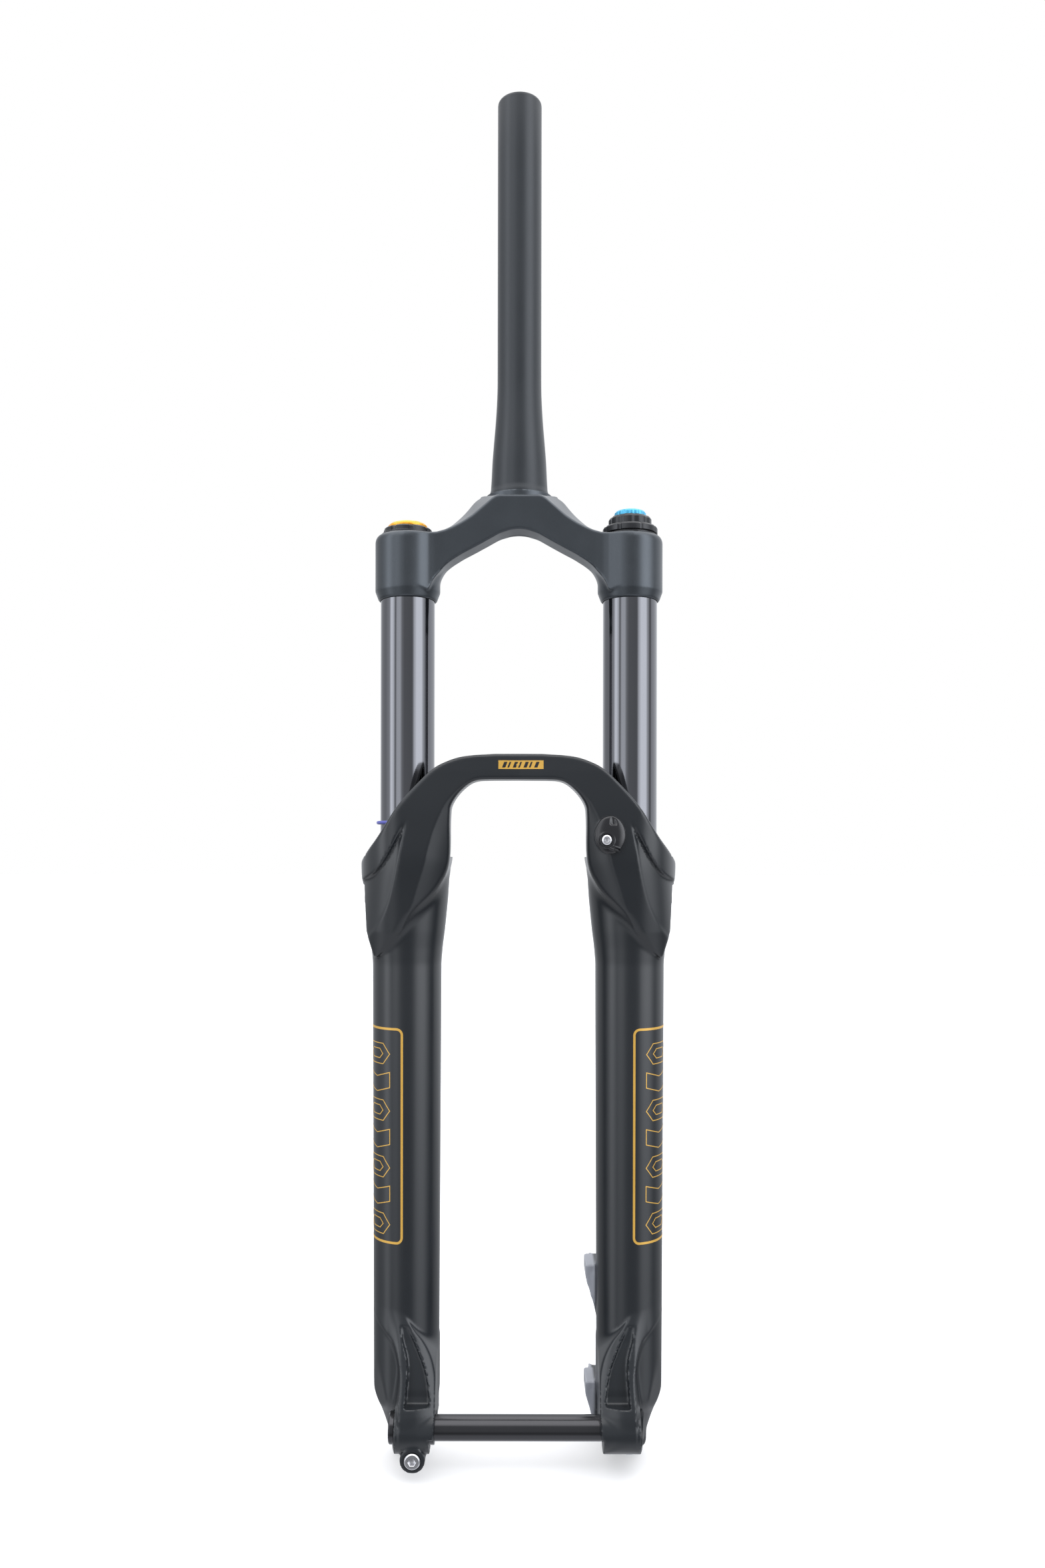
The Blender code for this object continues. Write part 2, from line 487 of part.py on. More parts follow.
# ---------------------------------------------------------------- axle, its sleeve, insert and pinch bolt
make("axle_insert", turned([(7.8, 56.3), (10.3, 56.3), (10.3, 73.5), (7.8, 73.5)], 20, 0.5, "X"), "steel", (0, AXLE_Y, AXLE_Z))
make("axle_sleeve", turned([(7.8, -74.5), (9.5, -74.5), (9.5, -50.3), (7.8, -50.3)], 20, 0.5, "X"), "anodised_black", (0, AXLE_Y, AXLE_Z))
make("axle", turned([(0, 72.0), (6.9, 72.0), (AXLE_R, 71.0), (AXLE_R, -74.8), (9.3, -74.8), (9.3, -77.6), (8.7, -78.2), (3.2, -78.2), (3.2, -71.5), (0, -71.5)], 20, 0.5, "X"), "anodised_black", (0, AXLE_Y, AXLE_Z))
make("pinch_bolt", turned([(0, -40.0), (2.5, -40.0), (2.5, -61.8), (4.6, -61.8), (4.6, -65.7), (4.2, -66.1), (2.2, -66.1), (2.2, -63.6), (0, -63.6)], 16, 0.5, "Y"), "steel", (PINCH_X, 0, PINCH_Z))

# ---------------------------------------------------------------- empties on the joint axes
fixed = {"steerer_tube", "crown", "stanchion_air", "stanchion_damper", "air_top_cap", "air_valve", "air_seal_head", "damper_top_cap",
         "damper_cartridge_tube", "compression_valve", "damper_seal_head"}
own = {"air_cap", "high_speed_dial", "low_speed_knob", "travel_ring"}
rebound = {"rebound_knob", "rebound_needle"}
axle_line = {"axle", "axle_sleeve"}
bpy.context.view_layer.update()
slide = frame("fork_travel_axis", (0, CLAMP_Y, 0))
axle_frame = frame("axle_axis", (0, AXLE_Y, AXLE_Z))
rebound_frame = frame("rebound_axis", DAMP)
for ob in list(bpy.context.scene.objects):
    if ob.type != "MESH" or ob.name in fixed or ob.name in own:
        continue
    if ob.name in rebound:
        hang(ob, rebound_frame)
    elif ob.name in axle_line:
        hang(ob, axle_frame)
    else:
        hang(ob, slide)
hang(axle_frame, slide)
hang(rebound_frame, slide)
bpy.context.view_layer.update()
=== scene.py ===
"""The looks of a single-crown mountain-bike suspension fork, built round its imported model.

Lengths below are in millimetres unless a name says otherwise, and are turned into metres when a mesh is made.
The frame is the model's own: origin on the steerer axis at the crown-race shoulder, +Z up, -Y the front, +X the disc side.
"""
import math

import bmesh
import bpy
import numpy as np
from mathutils import Matrix, Vector


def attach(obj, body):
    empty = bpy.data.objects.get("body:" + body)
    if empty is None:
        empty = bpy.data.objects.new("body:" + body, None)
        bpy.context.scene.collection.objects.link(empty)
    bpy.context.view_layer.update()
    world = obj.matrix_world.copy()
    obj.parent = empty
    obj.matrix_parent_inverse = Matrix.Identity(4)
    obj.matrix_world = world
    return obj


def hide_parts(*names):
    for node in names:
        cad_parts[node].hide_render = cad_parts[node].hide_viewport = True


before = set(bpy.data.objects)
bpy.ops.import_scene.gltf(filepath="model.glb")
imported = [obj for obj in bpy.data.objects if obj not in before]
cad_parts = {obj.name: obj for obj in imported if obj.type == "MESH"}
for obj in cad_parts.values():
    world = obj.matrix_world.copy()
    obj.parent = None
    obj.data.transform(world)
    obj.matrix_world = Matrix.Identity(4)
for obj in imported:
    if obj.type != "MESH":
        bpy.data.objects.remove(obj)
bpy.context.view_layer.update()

MM = 0.001
LEG_X, LEG_Y = 70.2, -26.0
AXLE_Y, AXLE_Z = -51.0, -582.0

# ------------------------------------------------------------------ materials


def nodes_of(name):
    m = bpy.data.materials.new(name)
    m.use_nodes = True
    nt = m.node_tree
    return m, nt, nt.nodes["Principled BSDF"]


def link(nt, a, b):
    nt.links.new(a, b)


def finish(name, rgb, rough, metal=0.0, spec=0.5, coat=0.0, coat_rough=0.1, vary=0.12, grain=900.0, grain_bump=0.06, grain_mm=0.02,
           rough_vary=0.06, brushed=None, smudge=35.0, tint=None):
    """A painted, anodised or bare-metal finish: colour that drifts slowly, roughness that varies, and a fine surface grain.
    brushed = (x, y, z) stretches the grain along the axis whose factor is small."""
    m, nt, p = nodes_of(name)
    n = nt.nodes
    tc = n.new("ShaderNodeTexCoord")
    big = n.new("ShaderNodeTexNoise")
    big.inputs["Scale"].default_value = smudge
    big.inputs["Detail"].default_value = 4.0
    big.inputs["Roughness"].default_value = 0.6
    link(nt, tc.outputs["Object"], big.inputs["Vector"])
    mp = n.new("ShaderNodeMapping")
    link(nt, tc.outputs["Object"], mp.inputs["Vector"])
    if brushed:
        mp.inputs["Scale"].default_value = brushed
    fine = n.new("ShaderNodeTexNoise")
    fine.inputs["Scale"].default_value = grain
    fine.inputs["Detail"].default_value = 2.0
    link(nt, mp.outputs["Vector"], fine.inputs["Vector"])
    mix = n.new("ShaderNodeMix")
    mix.data_type = "RGBA"
    lo = tuple(c * (1.0 - vary) for c in rgb) + (1.0,)
    up = tint if tint else rgb
    hi = tuple(min(1.0, c * (1.0 + vary)) for c in up) + (1.0,)
    mix.inputs[6].default_value = lo
    mix.inputs[7].default_value = hi
    add = n.new("ShaderNodeMath")
    add.operation = "ADD"
    half = n.new("ShaderNodeMath")
    half.operation = "MULTIPLY"
    half.inputs[1].default_value = 0.5
    link(nt, big.outputs["Fac"], add.inputs[0])
    link(nt, fine.outputs["Fac"], add.inputs[1])
    link(nt, add.outputs[0], half.inputs[0])
    link(nt, half.outputs[0], mix.inputs[0])
    link(nt, mix.outputs[2], p.inputs["Base Color"])
    rr = n.new("ShaderNodeMapRange")
    rr.inputs["From Min"].default_value = 0.3
    rr.inputs["From Max"].default_value = 0.7
    rr.inputs["To Min"].default_value = max(0.02, rough - rough_vary)
    rr.inputs["To Max"].default_value = min(1.0, rough + rough_vary)
    link(nt, big.outputs["Fac"], rr.inputs["Value"])
    link(nt, rr.outputs["Result"], p.inputs["Roughness"])
    bump = n.new("ShaderNodeBump")
    bump.inputs["Strength"].default_value = grain_bump
    bump.inputs["Distance"].default_value = grain_mm * MM
    link(nt, fine.outputs["Fac"], bump.inputs["Height"])
    link(nt, bump.outputs["Normal"], p.inputs["Normal"])
    p.inputs["Metallic"].default_value = metal
    p.inputs["Specular IOR Level"].default_value = spec
    p.inputs["Coat Weight"].default_value = coat
    p.inputs["Coat Roughness"].default_value = coat_rough
    m.diffuse_color = (rgb[0], rgb[1], rgb[2], 1.0)
    return m


def turned_finish(name, rgb, rough, metal, pitch=0.25, depth=0.03, axis="Z", spec=0.5, vary=0.1):
    """Lathe-turned metal: fine rings along the axis over a soft colour drift."""
    m = finish(name, rgb, rough, metal, spec, vary=vary, grain=420.0)
    nt = m.node_tree
    n = nt.nodes
    tc = n.new("ShaderNodeTexCoord")
    wave = n.new("ShaderNodeTexWave")
    wave.wave_type = "BANDS"
    wave.bands_direction = axis
    wave.inputs["Scale"].default_value = 0.314 / (pitch * MM) / 2.0
    wave.inputs["Distortion"].default_value = 0.6
    wave.inputs["Detail"].default_value = 2.0
    link(nt, tc.outputs["Object"], wave.inputs["Vector"])
    bump = n.new("ShaderNodeBump")
    bump.inputs["Strength"].default_value = 0.25
    bump.inputs["Distance"].default_value = depth * MM
    link(nt, wave.outputs["Fac"], bump.inputs["Height"])
    first = [x for x in n if x.type == "BUMP" and x != bump][0]
    link(nt, first.outputs["Normal"], bump.inputs["Normal"])
    link(nt, bump.outputs["Normal"], nt.nodes["Principled BSDF"].inputs["Normal"])
    return m


MAT = {
    "crown_black": finish("crown_black", (0.070, 0.078, 0.087), 0.34, 0.80, vary=0.10, grain=1500.0, grain_bump=0.10, grain_mm=0.02, rough_vary=0.03, brushed=(1.0, 1.0, 0.35)),
    "steerer_black": finish("steerer_black", (0.025, 0.029, 0.034), 0.39, 0.30, vary=0.10, grain=1300.0, grain_bump=0.10, grain_mm=0.02, rough_vary=0.03, brushed=(0.3, 0.3, 1.6)),
    "casting_black": finish("casting_black", (0.0138, 0.0162, 0.0194), 0.29, 0.0, 0.5, vary=0.08, grain=1100.0, grain_bump=0.06, grain_mm=0.02, rough_vary=0.015),
    "stanchion_black": finish("stanchion_black", (0.146, 0.148, 0.159), 0.08, 1.0, vary=0.05, grain=1800.0, grain_bump=0.03, grain_mm=0.006, rough_vary=0.02, brushed=(0.25, 0.25, 2.0)),
    "anodised_black": turned_finish("anodised_black", (0.030, 0.030, 0.033), 0.30, 0.55, pitch=0.3, depth=0.02),
    "cap_black": finish("cap_black", (0.026, 0.027, 0.030), 0.30, 0.4, vary=0.12, grain=900.0, rough_vary=0.05),
    "axle_black": finish("axle_black", (0.060, 0.060, 0.064), 0.16, 0.85, vary=0.08, grain=900.0, rough_vary=0.03, brushed=(2.0, 0.3, 0.3)),
    "gold_anodised": finish("gold_anodised", (0.92, 0.42, 0.028), 0.30, 0.35, vary=0.06, grain=700.0, rough_vary=0.04),
    "blue_anodised": finish("blue_anodised", (0.075, 0.43, 0.68), 0.28, 0.30, vary=0.08, grain=700.0, rough_vary=0.04),
    "steel": finish("steel", (0.62, 0.62, 0.64), 0.24, 1.0, vary=0.08, grain=600.0, rough_vary=0.06),
    "raw_aluminium": turned_finish("raw_aluminium", (0.56, 0.57, 0.59), 0.34, 1.0, pitch=0.3, depth=0.03),
    "rubber_black": finish("rubber_black", (0.014, 0.014, 0.014), 0.62, 0.0, 0.35, vary=0.2, grain=700.0, grain_bump=0.3, grain_mm=0.05),
    "foam_black": finish("foam_black", (0.05, 0.05, 0.048), 0.92, 0.0, 0.2, vary=0.35, grain=1400.0, grain_bump=0.9, grain_mm=0.25),
    "ring_blue": finish("ring_blue", (0.085, 0.095, 0.40), 0.40, 0.0, 0.5, vary=0.12, grain=800.0, grain_bump=0.2, grain_mm=0.03),
    "bushing": turned_finish("bushing", (0.34, 0.28, 0.20), 0.50, 0.5, pitch=0.5, depth=0.04),
    "bumper": finish("bumper", (0.55, 0.50, 0.12), 0.55, 0.0, 0.4, vary=0.1, grain=500.0, grain_bump=0.2, grain_mm=0.05),
    "decal_gold": finish("decal_gold", (0.62, 0.36, 0.065), 0.38, 0.25, 0.5, vary=0.08, grain=900.0, grain_bump=0.05),
    "guide_black": finish("guide_black", (0.012, 0.012, 0.014), 0.16, 0.0, 0.55, vary=0.15, grain=500.0, grain_bump=0.1, grain_mm=0.03, rough_vary=0.05),
}

# painted highlight: the inner flanks of the brake posts get a light grey colour standing in for the light reflected off
# them; a region of the casting, told by where it is
nt = MAT["casting_black"].node_tree
pb = nt.nodes["Principled BSDF"]
tcb = nt.nodes.new("ShaderNodeTexCoord")
spb = nt.nodes.new("ShaderNodeSeparateXYZ")
link(nt, tcb.outputs["Object"], spb.inputs[0])
flank_highlight_mask = None
for out, lo, hi, a, b in (("X", 0.0478, 0.0494, 1.0, 0.0), ("X", 0.0400, 0.0410, 0.0, 1.0), ("Z", -0.4850, -0.4800, 1.0, 0.0)):
    g = nt.nodes.new("ShaderNodeMapRange")
    for k, v in (("From Min", lo), ("From Max", hi), ("To Min", a), ("To Max", b)):
        g.inputs[k].default_value = v
    link(nt, spb.outputs[out], g.inputs["Value"])
    if flank_highlight_mask is None:
        flank_highlight_mask = g.outputs["Result"]
    else:
        mu = nt.nodes.new("ShaderNodeMath")
        mu.operation = "MULTIPLY"
        link(nt, flank_highlight_mask, mu.inputs[0])
        link(nt, g.outputs["Result"], mu.inputs[1])
        flank_highlight_mask = mu.outputs[0]
# painted highlight: mixes the casting's colour towards a light grey inside the flank mask
flank_highlight_mix = nt.nodes.new("ShaderNodeMix")
flank_highlight_mix.data_type = "RGBA"
flank_highlight_mix.inputs[7].default_value = (0.29, 0.30, 0.335, 1.0)
link(nt, pb.inputs["Base Color"].links[0].from_socket, flank_highlight_mix.inputs[6])
link(nt, flank_highlight_mask, flank_highlight_mix.inputs[0])
link(nt, flank_highlight_mix.outputs[2], pb.inputs["Base Color"])

# ------------------------------------------------------------------ mesh helpers


def obj_from(name, verts, faces, mat, body, slot=None, sharp=35.0):
    """An object from vertex and face lists in millimetres, riding on a body."""
    me = bpy.data.meshes.new(name)
    v = np.asarray(verts, dtype=np.float64) * MM
    me.from_pydata([tuple(r) for r in v], [], [tuple(int(i) for i in f) for f in faces])
    me.validate()
    return place(name, me, mat, body, sharp)


def place(name, me, mat, body, sharp=35.0):
    ob = bpy.data.objects.new(name, me)
    bpy.context.scene.collection.objects.link(ob)
    if mat:
        me.materials.clear()
        me.materials.append(MAT[mat])
    me.shade_smooth()
    me.set_sharp_from_angle(angle=math.radians(sharp))
    if body:
        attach(ob, body)
    return ob


def from_bm(name, bm, mat, body, sharp=35.0, at=(0, 0, 0)):
    """An object from a bmesh in millimetres, shifted by `at`."""
    bmesh.ops.translate(bm, vec=at, verts=bm.verts)
    bmesh.ops.recalc_face_normals(bm, faces=bm.faces)
    bmesh.ops.scale(bm, vec=(MM, MM, MM), verts=bm.verts)
    me = bpy.data.meshes.new(name)
    bm.to_mesh(me)
    bm.free()
    return place(name, me, mat, body, sharp)


def soften(profile, radius, steps=5):
    """Rounds the corners of a closed (r, z) profile. radius is one number, or one for each corner."""
    out = []
    n = len(profile)
    rad = radius if isinstance(radius, (list, tuple)) else [radius] * n
    for i in range(n):
        p = np.array(profile[i], float)
        a = np.array(profile[i - 1], float) - p
        b = np.array(profile[(i + 1) % n], float) - p
        la, lb = np.hypot(*a), np.hypot(*b)
        r = rad[i]
        if r <= 0 or profile[i][0] < 1e-6 or la < 1e-6 or lb < 1e-6:
            out.append(tuple(p))
            continue
        a, b = a / la, b / lb
        cosang = float(np.clip(np.dot(a, b), -1, 1))
        ang = math.acos(cosang)
        if ang > math.radians(172) or ang < math.radians(8):
            out.append(tuple(p))
            continue
        t = min(r / math.tan(ang / 2), 0.49 * la, 0.49 * lb)
        rr = t * math.tan(ang / 2)
        mid = a + b
        mid /= np.hypot(*mid)
        c = p + mid * (rr / math.sin(ang / 2))
        s, e = p + a * t, p + b * t
        a0 = math.atan2(*(s - c)[::-1])
        a1 = math.atan2(*(e - c)[::-1])
        d = (a1 - a0 + math.pi) % (2 * math.pi) - math.pi
        for k in range(steps + 1):
            q = a0 + d * k / steps
            out.append((c[0] + rr * math.cos(q), c[1] + rr * math.sin(q)))
    return out


def lathe(profile, seg=96, axis="Z", radial=None):
    """A closed (r, z) profile spun about an axis. radial(angle, r, z) may return a changed radius, for flutes and flats."""
    bm = bmesh.new()
    rings = []
    for r, z in profile:
        if r < 1e-6:
            rings.append([bm.verts.new((0, 0, z))])
            continue
        row = []
        for i in range(seg):
            a = 2 * math.pi * i / seg
            q = radial(a, r, z) if radial else r
            row.append(bm.verts.new((q * math.cos(a), q * math.sin(a), z)))
        rings.append(row)
    n = len(profile)
    for k in range(n):
        a, b = rings[k], rings[(k + 1) % n]
        if len(a) == 1 and len(b) == 1:
            continue
        for i in range(seg):
            j = (i + 1) % seg
            if len(a) == 1:
                bm.faces.new((a[0], b[j], b[i]))
            elif len(b) == 1:
                bm.faces.new((a[i], a[j], b[0]))
            else:
                bm.faces.new((a[i], a[j], b[j], b[i]))
    if axis == "X":
        bmesh.ops.rotate(bm, verts=bm.verts, cent=(0, 0, 0), matrix=Matrix.Rotation(math.radians(90), 3, "Y"))
    elif axis == "Y":
        bmesh.ops.rotate(bm, verts=bm.verts, cent=(0, 0, 0), matrix=Matrix.Rotation(math.radians(-90), 3, "X"))
    return bm


def rod(r, lo, hi, seg=64, axis="Z"):
    return lathe([(0, lo), (r, lo), (r, hi), (0, hi)], seg, axis)


def hexagon(r, lo, hi, axis="Z"):
    return lathe([(0, lo), (r, lo), (r, hi), (0, hi)], 6, axis)


def cube(x0, x1, y0, y1, z0, z1):
    bm = bmesh.new()
    bmesh.ops.create_cube(bm, size=1.0)
    bmesh.ops.scale(bm, vec=(x1 - x0, y1 - y0, z1 - z0), verts=bm.verts)
    bmesh.ops.translate(bm, vec=((x0 + x1) / 2, (y0 + y1) / 2, (z0 + z1) / 2), verts=bm.verts)
    return bm


def combine(ob, tools, how="DIFFERENCE", solver="MANIFOLD"):
    """Booleans ob with bmeshes in millimetres, each given as (bmesh, shift)."""
    for bm, at in tools:
        bmesh.ops.translate(bm, vec=at, verts=bm.verts)
        bmesh.ops.recalc_face_normals(bm, faces=bm.faces)
        bmesh.ops.triangulate(bm, faces=bm.faces)
        bmesh.ops.scale(bm, vec=(MM, MM, MM), verts=bm.verts)
        tm = bpy.data.meshes.new("cutter")
        bm.to_mesh(tm)
        bm.free()
        tool = bpy.data.objects.new("cutter", tm)
        bpy.context.scene.collection.objects.link(tool)
        mod = ob.modifiers.new("cut", "BOOLEAN")
        mod.operation = how
        mod.solver = solver
        mod.object = tool
        dg = bpy.context.evaluated_depsgraph_get()
        dg.update()
        me = bpy.data.meshes.new_from_object(ob.evaluated_get(dg))
        ob.modifiers.clear()
        if len(me.polygons) < 8:
            print("boolean gave nothing on", ob.name)
            bpy.data.meshes.remove(me)
        else:
            old = ob.data
            ob.data = me
            bpy.data.meshes.remove(old)
        bpy.data.objects.remove(tool, do_unlink=True)
        bpy.data.meshes.remove(tm)
    return ob


def reshade(ob, sharp=35.0, merge=0.004):
    bm = bmesh.new()
    bm.from_mesh(ob.data)
    bmesh.ops.remove_doubles(bm, verts=bm.verts, dist=merge * MM)
    bmesh.ops.dissolve_degenerate(bm, dist=merge * MM, edges=bm.edges)
    bm.to_mesh(ob.data)
    bm.free()
    ob.data.shade_smooth()
    ob.data.set_sharp_from_angle(angle=math.radians(sharp))


# ------------------------------------------------------------------ distance fields


def smin(a, b, k):
    h = np.clip(0.5 + 0.5 * (b - a) / k, 0.0, 1.0)
    return b + (a - b) * h - k * h * (1.0 - h)


def smax(a, b, k):
    return -smin(-a, -b, k)


def polygon_sd(px, pz, poly):
    """Signed distance to a closed polygon, negative inside."""
    d = np.full(px.shape, 1e9)
    inside = np.zeros(px.shape, bool)
    n = len(poly)
    for i in range(n):
        ax, az = poly[i]
        bx, bz = poly[(i + 1) % n]
        ex, ez = bx - ax, bz - az
        wx, wz = px - ax, pz - az
        t = np.clip((wx * ex + wz * ez) / (ex * ex + ez * ez + 1e-12), 0, 1)
        d = np.minimum(d, (wx - ex * t) ** 2 + (wz - ez * t) ** 2)
        cond = ((az <= pz) & (bz > pz)) | ((bz <= pz) & (az > pz))
        if ez != 0:
            xc = ax + ex * (pz - az) / ez
            inside ^= cond & (px < xc)
    return np.where(inside, -1.0, 1.0) * np.sqrt(d)


def line_dist(px, pz, pts):
    d = np.full(px.shape, 1e9)
    for (ax, az), (bx, bz) in zip(pts, pts[1:]):
        ex, ez = bx - ax, bz - az
        wx, wz = px - ax, pz - az
        t = np.clip((wx * ex + wz * ez) / (ex * ex + ez * ez + 1e-12), 0, 1)
        d = np.minimum(d, (wx - ex * t) ** 2 + (wz - ez * t) ** 2)
    return np.sqrt(d)


def smooth_line(pts, per=6):
    """A Catmull-Rom curve through open points."""
    p = [np.array(q, float) for q in pts]
    p = [2 * p[0] - p[1]] + p + [2 * p[-1] - p[-2]]
    out = []
    for i in range(1, len(p) - 2):
        for k in range(per):
            t = k / per
            a = 2 * p[i]
            b = p[i + 1] - p[i - 1]
            c = 2 * p[i - 1] - 5 * p[i] + 4 * p[i + 1] - p[i + 2]
            d = -p[i - 1] + 3 * p[i] - 3 * p[i + 1] + p[i + 2]
            out.append(tuple(0.5 * (a + b * t + c * t * t + d * t ** 3)))
    out.append(tuple(p[-2]))
    return out


class Map2:
    """A function of two coordinates kept on a grid and read back by bilinear interpolation."""

    def __init__(self, a0, a1, b0, b1, step, fn):
        self.a0, self.b0, self.step = a0, b0, step
        self.na = int(math.ceil((a1 - a0) / step)) + 1
        self.nb = int(math.ceil((b1 - b0) / step)) + 1
        ga, gb = np.meshgrid(a0 + step * np.arange(self.na), b0 + step * np.arange(self.nb), indexing="ij")
        self.v = fn(ga, gb)

    def __call__(self, a, b):
        u = np.clip((a - self.a0) / self.step, 0, self.na - 1.001)
        w = np.clip((b - self.b0) / self.step, 0, self.nb - 1.001)
        i = u.astype(np.int64)
        j = w.astype(np.int64)
        fu, fw = u - i, w - j
        v = self.v
        return (v[i, j] * (1 - fu) + v[i + 1, j] * fu) * (1 - fw) + (v[i, j + 1] * (1 - fu) + v[i + 1, j + 1] * fu) * fw


def skin(field, lo, hi, h, reach=1.6, relax=2):
    """Quads on the zero surface of a distance field, by surface nets in a narrow band, with each vertex put back on the surface."""
    lo = np.array(lo, float)
    n = np.ceil((np.array(hi, float) - lo) / h).astype(int) + 1
    B = 8
    nb = (n + B - 1) // B
    n = nb * B + 1
    F = np.empty(n, np.float32)
    cx = [lo[a] + h * (np.arange(nb[a]) * B + B / 2) for a in range(3)]
    gx, gy, gz = np.meshgrid(*cx, indexing="ij")
    coarse = field(gx.ravel(), gy.ravel(), gz.ravel()).reshape(nb)
    near = np.abs(coarse) < h * B * 0.8660254 * reach
    sign = np.where(coarse < 0, -9.0, 9.0).astype(np.float32)
    full = np.repeat(np.repeat(np.repeat(sign, B, 0), B, 1), B, 2)
    F[:-1, :-1, :-1] = full
    F[-1], F[:, -1], F[:, :, -1] = 9.0, 9.0, 9.0
    keys = np.argwhere(near)
    off = np.stack(np.meshgrid(np.arange(B + 1), np.arange(B + 1), np.arange(B + 1), indexing="ij"), -1).reshape(-1, 3)
    step = max(1, 400000 // len(off))
    for s in range(0, len(keys), step):
        k = keys[s:s + step]
        idx = (k[:, None, :] * B + off[None]).reshape(-1, 3)
        p = lo + h * idx
        F[idx[:, 0], idx[:, 1], idx[:, 2]] = field(p[:, 0], p[:, 1], p[:, 2])
    F[F == 0] = 1e-6
    # faces of a cell whose corners alternate would make edges with four quads: such corners are filled
    for _ in range(8):
        neg = F < 0
        bad = 0
        for ax in range(3):
            u, w = (ax + 1) % 3, (ax + 2) % 3

            def part(du, dw):
                sl = [slice(None)] * 3
                sl[u] = slice(du, n[u] - 1 + du)
                sl[w] = slice(dw, n[w] - 1 + dw)
                return tuple(sl)

            a, b, c, d = neg[part(0, 0)], neg[part(1, 0)], neg[part(0, 1)], neg[part(1, 1)]
            e = np.argwhere((a == d) & (b == c) & (a != b))
            bad += len(e)
            for du, dw in ((0, 0), (1, 0), (0, 1), (1, 1)):
                q = e.copy()
                q[:, u] += du
                q[:, w] += dw
                F[q[:, 0], q[:, 1], q[:, 2]] = np.minimum(F[q[:, 0], q[:, 1], q[:, 2]], -1e-3)
        if not bad:
            break
    neg = F < 0
    c = [neg[i:n[0] - 1 + i, j:n[1] - 1 + j, k:n[2] - 1 + k] for i in (0, 1) for j in (0, 1) for k in (0, 1)]
    allin = c[0].copy()
    anyin = c[0].copy()
    for q in c[1:]:
        allin &= q
        anyin |= q
    act = anyin & ~allin
    cells = np.argwhere(act)
    ident = np.full(act.shape, -1, np.int32)
    ident[act] = np.arange(len(cells), dtype=np.int32)
    corner = np.array([(i, j, k) for i in (0, 1) for j in (0, 1) for k in (0, 1)])
    val = np.stack([F[cells[:, 0] + i, cells[:, 1] + j, cells[:, 2] + k] for i, j, k in corner], 1).astype(np.float64)
    acc = np.zeros((len(cells), 3))
    cnt = np.zeros(len(cells))
    for a in range(8):
        for b in range(a + 1, 8):
            if np.abs(corner[a] - corner[b]).sum() != 1:
                continue
            va, vb = val[:, a], val[:, b]
            hit = (va < 0) != (vb < 0)
            t = np.where(hit, va / np.where(hit, va - vb, 1.0), 0.0)
            pos = corner[a] + (corner[b] - corner[a]) * t[:, None]
            acc += np.where(hit[:, None], pos, 0.0)
            cnt += hit
    verts = lo + h * (cells + acc / cnt[:, None])
    quads = []
    for ax in range(3):
        u, w = (ax + 1) % 3, (ax + 2) % 3
        sl0 = [slice(1, -1)] * 3
        sl1 = [slice(1, -1)] * 3
        sl0[ax], sl1[ax] = slice(0, -1), slice(1, None)
        a, b = neg[tuple(sl0)], neg[tuple(sl1)]
        e = np.argwhere(a != b)
        first = a[e[:, 0], e[:, 1], e[:, 2]]
        base = e.copy()
        base[:, u] += 1
        base[:, w] += 1
        du, dw = np.zeros(3, int), np.zeros(3, int)
        du[u], dw[w] = 1, 1
        ids = [ident[tuple((base - s).T)] for s in (du * 0, du, du + dw, dw)]
        q = np.stack(ids, 1)
        q[~first] = q[~first][:, ::-1]
        quads.append(q)
    quads = np.concatenate(quads)
    quads = quads[(quads >= 0).all(1)]
    eps = 0.05 * h

    def grad(p):
        g = np.stack([field(p[:, 0] + eps, p[:, 1], p[:, 2]) - field(p[:, 0] - eps, p[:, 1], p[:, 2]),
                      field(p[:, 0], p[:, 1] + eps, p[:, 2]) - field(p[:, 0], p[:, 1] - eps, p[:, 2]),
                      field(p[:, 0], p[:, 1], p[:, 2] + eps) - field(p[:, 0], p[:, 1], p[:, 2] - eps)], 1) / (2 * eps)
        return g

    nbr = None
    for it in range(relax + 1):
        if it:
            if nbr is None:
                e = np.concatenate([quads[:, [0, 1]], quads[:, [1, 2]], quads[:, [2, 3]], quads[:, [3, 0]]])
                nbr = e
            acc = np.zeros_like(verts)
            cnt = np.zeros(len(verts))
            for k in range(3):
                acc[:, k] = np.bincount(nbr[:, 0], verts[nbr[:, 1], k], len(verts)) + np.bincount(nbr[:, 1], verts[nbr[:, 0], k], len(verts))
            cnt = np.bincount(nbr[:, 0], minlength=len(verts)) + np.bincount(nbr[:, 1], minlength=len(verts))
            verts = 0.45 * verts + 0.55 * acc / np.maximum(cnt, 1)[:, None]
        for _ in range(2):
            f = field(verts[:, 0], verts[:, 1], verts[:, 2])
            g = grad(verts)
            gg = (g * g).sum(1)
            move = -(f / np.maximum(gg, 0.09))[:, None] * g
            ln = np.linalg.norm(move, axis=1)
            move *= np.minimum(1.0, 0.7 * h / np.maximum(ln, 1e-9))[:, None]
            verts = verts + move
    return verts, quads


def mesh_fast(name, verts, quads):
    me = bpy.data.meshes.new(name)
    me.vertices.add(len(verts))
    me.vertices.foreach_set("co", (np.asarray(verts) * MM).astype(np.float32).ravel())
    me.loops.add(len(quads) * 4)
    me.loops.foreach_set("vertex_index", quads.astype(np.int32).ravel())
    me.polygons.add(len(quads))
    me.polygons.foreach_set("loop_start", np.arange(0, len(quads) * 4, 4, dtype=np.int32))
    me.update(calc_edges=True)
    me.validate()
    return me

# ------------------------------------------------------------------ lower casting
GRID = 1.0

